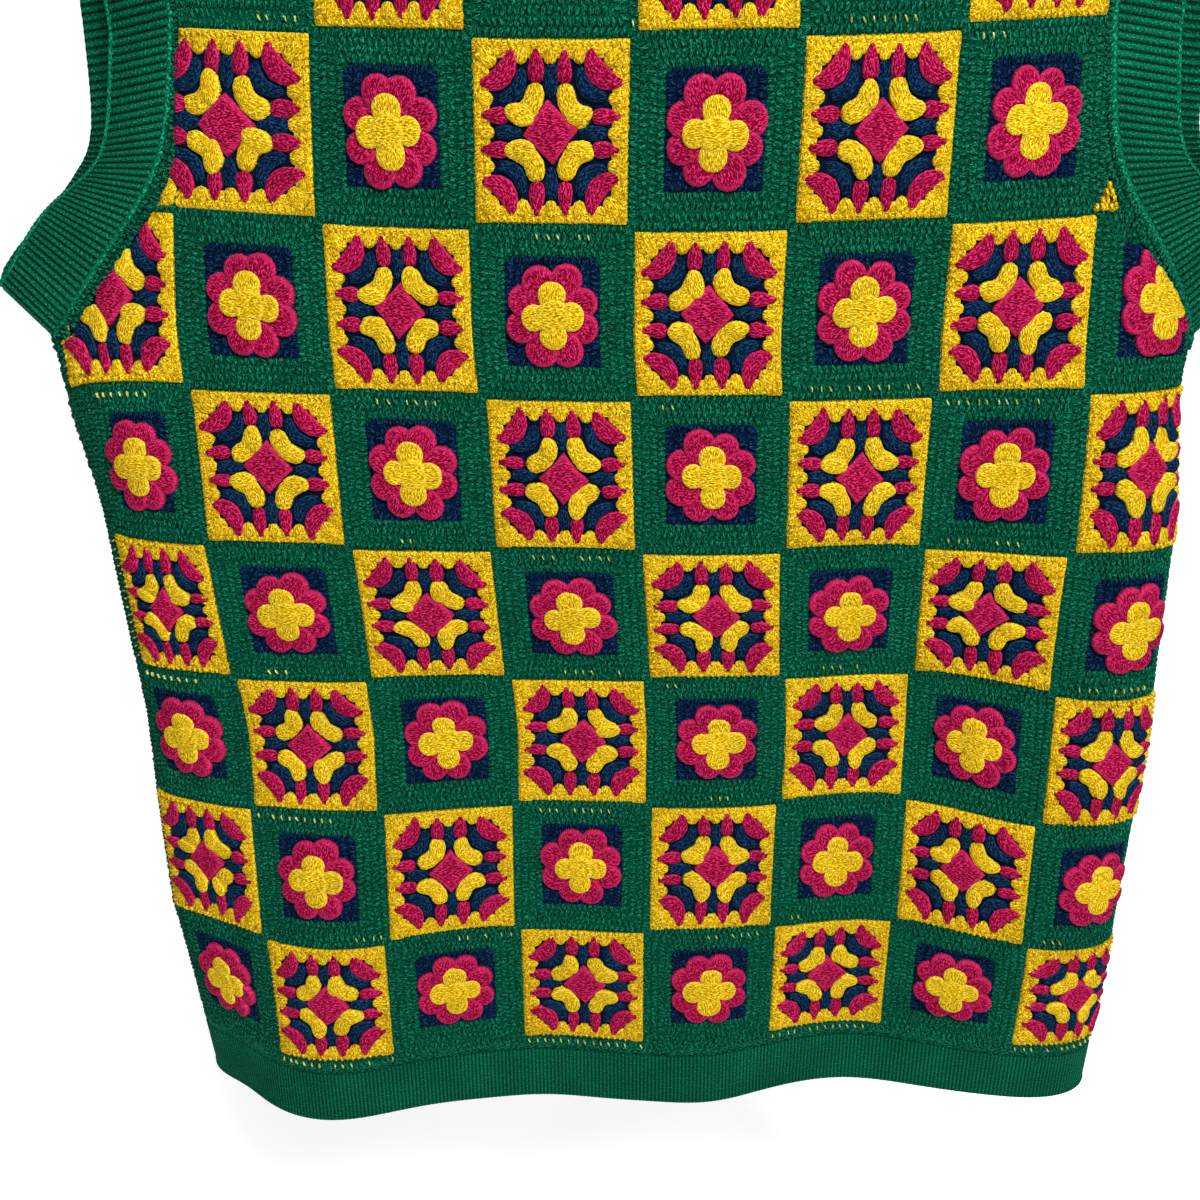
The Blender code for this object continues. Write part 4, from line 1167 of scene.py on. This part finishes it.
# The band's cross-section from its seam to its free edge and back inside: part of the width, depth in
# walls, and how much of the ribs' relief it has.
BAND_PROFILE = ((0.0, 0.0, 0.3), (0.04, 0.0, 1.0), (0.93, 0.0, 1.0), (0.955, -0.06, 0.35),
                (0.98, 0.10, 0.25), (1.0, -0.12, 0.2), (1.008, -0.5, 0.0), (0.995, -0.9, 0.2),
                (0.93, -1.0, 1.0), (0.04, -1.0, 1.0), (0.0, -1.0, 0.3))


def tube_faces(sections, columns, closed, turned):
    """Faces around a tube whose places come line by line, one line for each point of its section.

    A closed tube is a ring, any other has two end faces; turned is whether the faces run the other way.
    """
    i = np.arange(columns if closed else columns - 1)
    j = (i + 1) % columns
    faces = []
    for section in range(sections):
        a, b = section * columns, (section + 1) % sections * columns
        faces += np.stack([a + i, b + i, b + j, a + j], axis=1).tolist()
    if not closed:
        faces.append([section * columns for section in reversed(range(sections))])
        faces.append([(section + 1) * columns - 1 for section in range(sections)])
    return [face[::-1] for face in faces] if turned else faces


def rib_band(name, node, low, high, outward, closed, width):
    """A ribbed band between two rails; its arrays hold a place for every column of the mesh."""
    turn = np.arange(len(low)) / COLUMNS_PER_RIB
    ribs = 2.0 * np.abs(np.cos(math.pi * turn)) ** RIB_POWER - 1.0
    relief = (RIB_RELIEF if closed else HEM_RIB_RELIEF) * ribs
    places, maps = [], []
    for along, depth, share in BAND_PROFILE:
        out = depth * WALL + relief * share
        places.append(low + (high - low) * along + outward * out[:, None])
        maps.append(np.stack([turn + 0.5, np.full(len(low), along * width)], axis=1))
    faces = tube_faces(len(BAND_PROFILE), len(low), closed, closed)
    piece = mesh_piece(name, np.concatenate(places) * MM, faces, {"rib": np.concatenate(maps)},
                       [RIB if closed else HEM_KNIT])
    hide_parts(node)
    inward = unit(low - high)
    chains = [rib_chain(name.replace("band", "edge_chain"), high + outward * EDGE_CHAIN_OUT, outward, inward,
                        CHAIN_RADIUS if closed else HEM_CHAIN_RADIUS, closed)]
    if closed:
        seam = low + inward * SEAM_CHAIN_IN + outward * SEAM_CHAIN_OUT
        chains.append(rib_chain(name.replace("band", "seam_chain"), seam, outward, inward,
                                SEAM_CHAIN_RADIUS, closed))


CHAIN_SECTION = 5
CHAIN_SWELL = 0.74, 0.30    # parts of its radius that a chain has at a groove, and gains at a rib
CHAIN_RADIUS = 1.0
HEM_CHAIN_RADIUS = 0.6
SEAM_CHAIN_RADIUS = 1.9
EDGE_CHAIN_OUT = 0.15       # how far an edge's chain lies out of the band
SEAM_CHAIN_IN, SEAM_CHAIN_OUT = 1.3, -0.3   # how far a seam's chain lies over the panel, and out of the band


def rib_chain(name, line, outward, inward, radius, closed):
    """A chain of stitches along a band: a tube that swells once for each rib."""
    turn = np.arange(len(line)) / COLUMNS_PER_RIB
    least, more = CHAIN_SWELL
    swelling = radius * (least + more * np.abs(np.sin(math.pi * turn)))
    places, maps = [], []
    for k in range(CHAIN_SECTION):
        angle = 2 * math.pi * k / CHAIN_SECTION
        places.append(line + (outward * math.cos(angle) + inward * math.sin(angle)) * swelling[:, None])
        maps.append(np.stack([turn * 4.0, np.full(len(line), k * 0.9)], axis=1))
    maps = np.concatenate(maps)
    faces = tube_faces(CHAIN_SECTION, len(line), closed, not closed)
    # the armholes' and neck's chains are painted brighter than the green yarn, a painted highlight; the hem's
    # chain keeps the plain green
    piece = mesh_piece(name, np.concatenate(places) * MM, faces, {"strand": maps, "rim": maps * 0.0},
                       [HIGHLIT_CHAIN_WOOL if closed else WOOL["green"]])
    return piece


def hem_band(side):
    left, right = -SIDE_STRIP + SEAM_GAP / 2, PANEL_WIDTH + SIDE_STRIP - SEAM_GAP / 2
    count = 2 * round((right - left) / HEM_RIB_PITCH / 2) * COLUMNS_PER_RIB + 1
    across, zero = np.linspace(left, right, count), np.zeros(count)
    low, high = (place(side, across, zero + height, zero) / MM for height in (0.0, HEM_RIB - SEAM_GAP))
    middle = zero + HEM_RIB / 2
    outward = (place(side, across, middle, zero + 1) - place(side, across, middle, zero)) / MM
    if side == BACK:
        high, low, outward = high[::-1], low[::-1], outward[::-1]
    rib_band(f"hem_band_{side}", f"hem_rib_{side}", high, low, outward, False, HEM_RIB)


def edge_rails(ring, directions, width, gap):
    """Columns of a closed band sewn to a ring of places, which runs on into the opening."""
    ring = np.concatenate([ring, ring[:1]])
    directions = np.concatenate([directions, directions[:1]])
    lengths = run_lengths(ring)
    count = 2 * round(lengths[-1] / BAND_RIB_PITCH / 2) * COLUMNS_PER_RIB
    at = np.arange(count) / count * lengths[-1]
    edge, direction = (np.stack([np.interp(at, lengths, values[:, k]) for k in range(3)], axis=1)
                       for values in (ring, directions))
    direction = unit(direction)
    along = np.roll(edge, -COLUMNS_PER_RIB, axis=0) - np.roll(edge, COLUMNS_PER_RIB, axis=0)
    return edge + direction * gap, edge + direction * width, unit(np.cross(along, direction))


def armhole_direction(side, height):
    """Which way the left armhole's band runs from its seam: out, and up near the underarm."""
    near_underarm = 1.0 - smooth_step((height - UNDERARM) / (1.3 * ARMHOLE_DEPTH_CLOTH))
    near_shoulder = smooth_step((height - CHEST_HEIGHT) / (SHOULDER_TIP_Z - CHEST_HEIGHT))
    lowest, highest = BAND_RISE
    upward = np.radians(lowest * near_underarm + highest * (1 - near_underarm))
    lean = FRONT_BAND_LEAN if side == FRONT else BACK_BAND_LEAN
    lean = lean * (1 - near_underarm) * (1 - near_shoulder)
    return np.stack([-np.cos(upward), lean, np.sin(upward)], axis=1)


def around(edge_of):
    """Around an opening: each side, and how far across and how high its edge's points are."""
    for side, edge in ((FRONT, edge_of(FRONT)), (BACK, edge_of(BACK)[::-1][1:-1])):
        yield side, *np.array(edge).T


def armhole_band(name, at_left):
    ring, directions = [], []
    for side, across, height in around(armhole_edge):
        across = across if at_left else PANEL_WIDTH - across
        ring.append(place(side, across, height, np.zeros_like(height)) / MM)
        directions.append(armhole_direction(side, height) * (1 if at_left else -1, 1, 1))
    ring, directions = np.concatenate(ring), np.concatenate(directions)
    if not at_left:
        ring, directions = ring[::-1], directions[::-1]
    low, high, outward = edge_rails(ring, directions, ARMHOLE_RIB, SEAM_GAP)
    rib_band(name.replace("rib", "band"), name, low, high, outward, True, ARMHOLE_RIB)


def neck_band():
    ring, outwards = [], []
    for side, across, height in around(neck_edge):
        ring.append(place(side, across, height, np.zeros_like(height)) / MM)
        outwards.append(place(side, across, height, np.ones_like(height)) / MM - ring[-1])
    ring, outwards = np.concatenate(ring), np.concatenate(outwards)
    along = np.roll(ring, -2, axis=0) - np.roll(ring, 2, axis=0)
    inward = unit(np.cross(outwards, along))
    by_slope, everywhere = NECK_LEAN
    directions = unit(inward + outwards * (by_slope * outwards[:, 2:] + everywhere))
    low, high, outward = edge_rails(ring, directions, NECK_RIB, NECK_GAP)
    rib_band("neck_band", "neck_rib", low, high, outward, True, NECK_RIB)


for side in SIDES:
    panel(side)
    hem_band(side)
armhole_band("armhole_rib_left", True)
armhole_band("armhole_rib_right", False)
neck_band()


# ---- floor, light and camera ----
def stage_material():
    nodes = Nodes("pale_floor")
    speckle = nodes.noise(nodes.object_place(), 6.0, detail=3.0)
    for socket, value in (("Base Color", nodes.ramp(speckle, (0.3, 0.90), (0.7, 0.93))), ("Roughness", 0.9),
                          ("Emission Color", (1.0, 1.0, 1.0)), ("Emission Strength", FLOOR_GLOW)):
        nodes.give(nodes.shader.inputs[socket], value)
    return nodes.material


def studio():
    """A pale floor that curves up into a backdrop, well below and behind the vest."""
    low = CAD_BOX[0][2] - FLOOR_DROP
    profile = [(-4.0, 0.0), (FLOOR_BEND, 0.0)]
    for i in range(1, 13):
        turn = math.pi / 2 * i / 12
        profile.append((FLOOR_BEND * (1 + math.sin(turn)), FLOOR_BEND * (1 - math.cos(turn))))
    profile.append((2 * FLOOR_BEND, 5.0))
    verts = [(x, y, low + z) for y, z in profile for x in (-5.0, 5.0)]
    mesh = bpy.data.meshes.new("studio_floor")
    mesh.from_pydata(verts, [], [(i, i + 1, i + 3, i + 2) for i in range(0, len(verts) - 2, 2)])
    mesh.materials.append(stage_material())
    mesh.polygons.foreach_set("use_smooth", [True] * len(mesh.polygons))
    floor = bpy.data.objects.new("studio_floor", mesh)
    bpy.context.scene.collection.objects.link(floor)


def area_light(light):
    data = bpy.data.lights.new(light.name, "AREA")
    data.shape = "RECTANGLE"
    data.size, data.size_y = light.size
    data.energy = light.power
    thing = bpy.data.objects.new(light.name, data)
    thing.location = light.place
    thing.rotation_euler = (Vector(light.target) - Vector(light.place)).to_track_quat("-Z", "Y").to_euler()
    bpy.context.scene.collection.objects.link(thing)


def camera():
    pitch, yaw, roll = (math.radians(angle) for angle in (CAMERA_PITCH, CAMERA_YAW, CAMERA_ROLL))
    forward = Vector((math.sin(yaw) * math.cos(pitch), math.cos(yaw) * math.cos(pitch), -math.sin(pitch)))
    level = Vector((math.cos(yaw), -math.sin(yaw), 0.0))
    above = level.cross(forward)
    right = level * math.cos(roll) + above * math.sin(roll)
    up = above * math.cos(roll) - level * math.sin(roll)
    data = bpy.data.cameras.new("photo_camera")
    data.sensor_width = 36.0
    data.lens = data.sensor_width * CAMERA_FOCAL / PHOTO_SIZE
    data.clip_start = 0.01
    thing = bpy.data.objects.new("photo_camera", data)
    thing.matrix_world = Matrix.Translation(Vector(CAMERA_PLACE) * MM) @ Matrix(
        (right, up, -forward)).transposed().to_4x4()
    bpy.context.scene.collection.objects.link(thing)
    bpy.context.scene.camera = thing


def world():
    made = bpy.data.worlds.new("studio_world")
    made.use_nodes = True
    background = made.node_tree.nodes["Background"]
    background.inputs["Color"].default_value = (1.0, 1.0, 1.0, 1.0)
    background.inputs["Strength"].default_value = WORLD_LIGHT
    bpy.context.scene.world = made
    bpy.context.scene.view_settings.view_transform = "Standard"


studio()
world()
for light in LIGHTS:
    area_light(light)
camera()
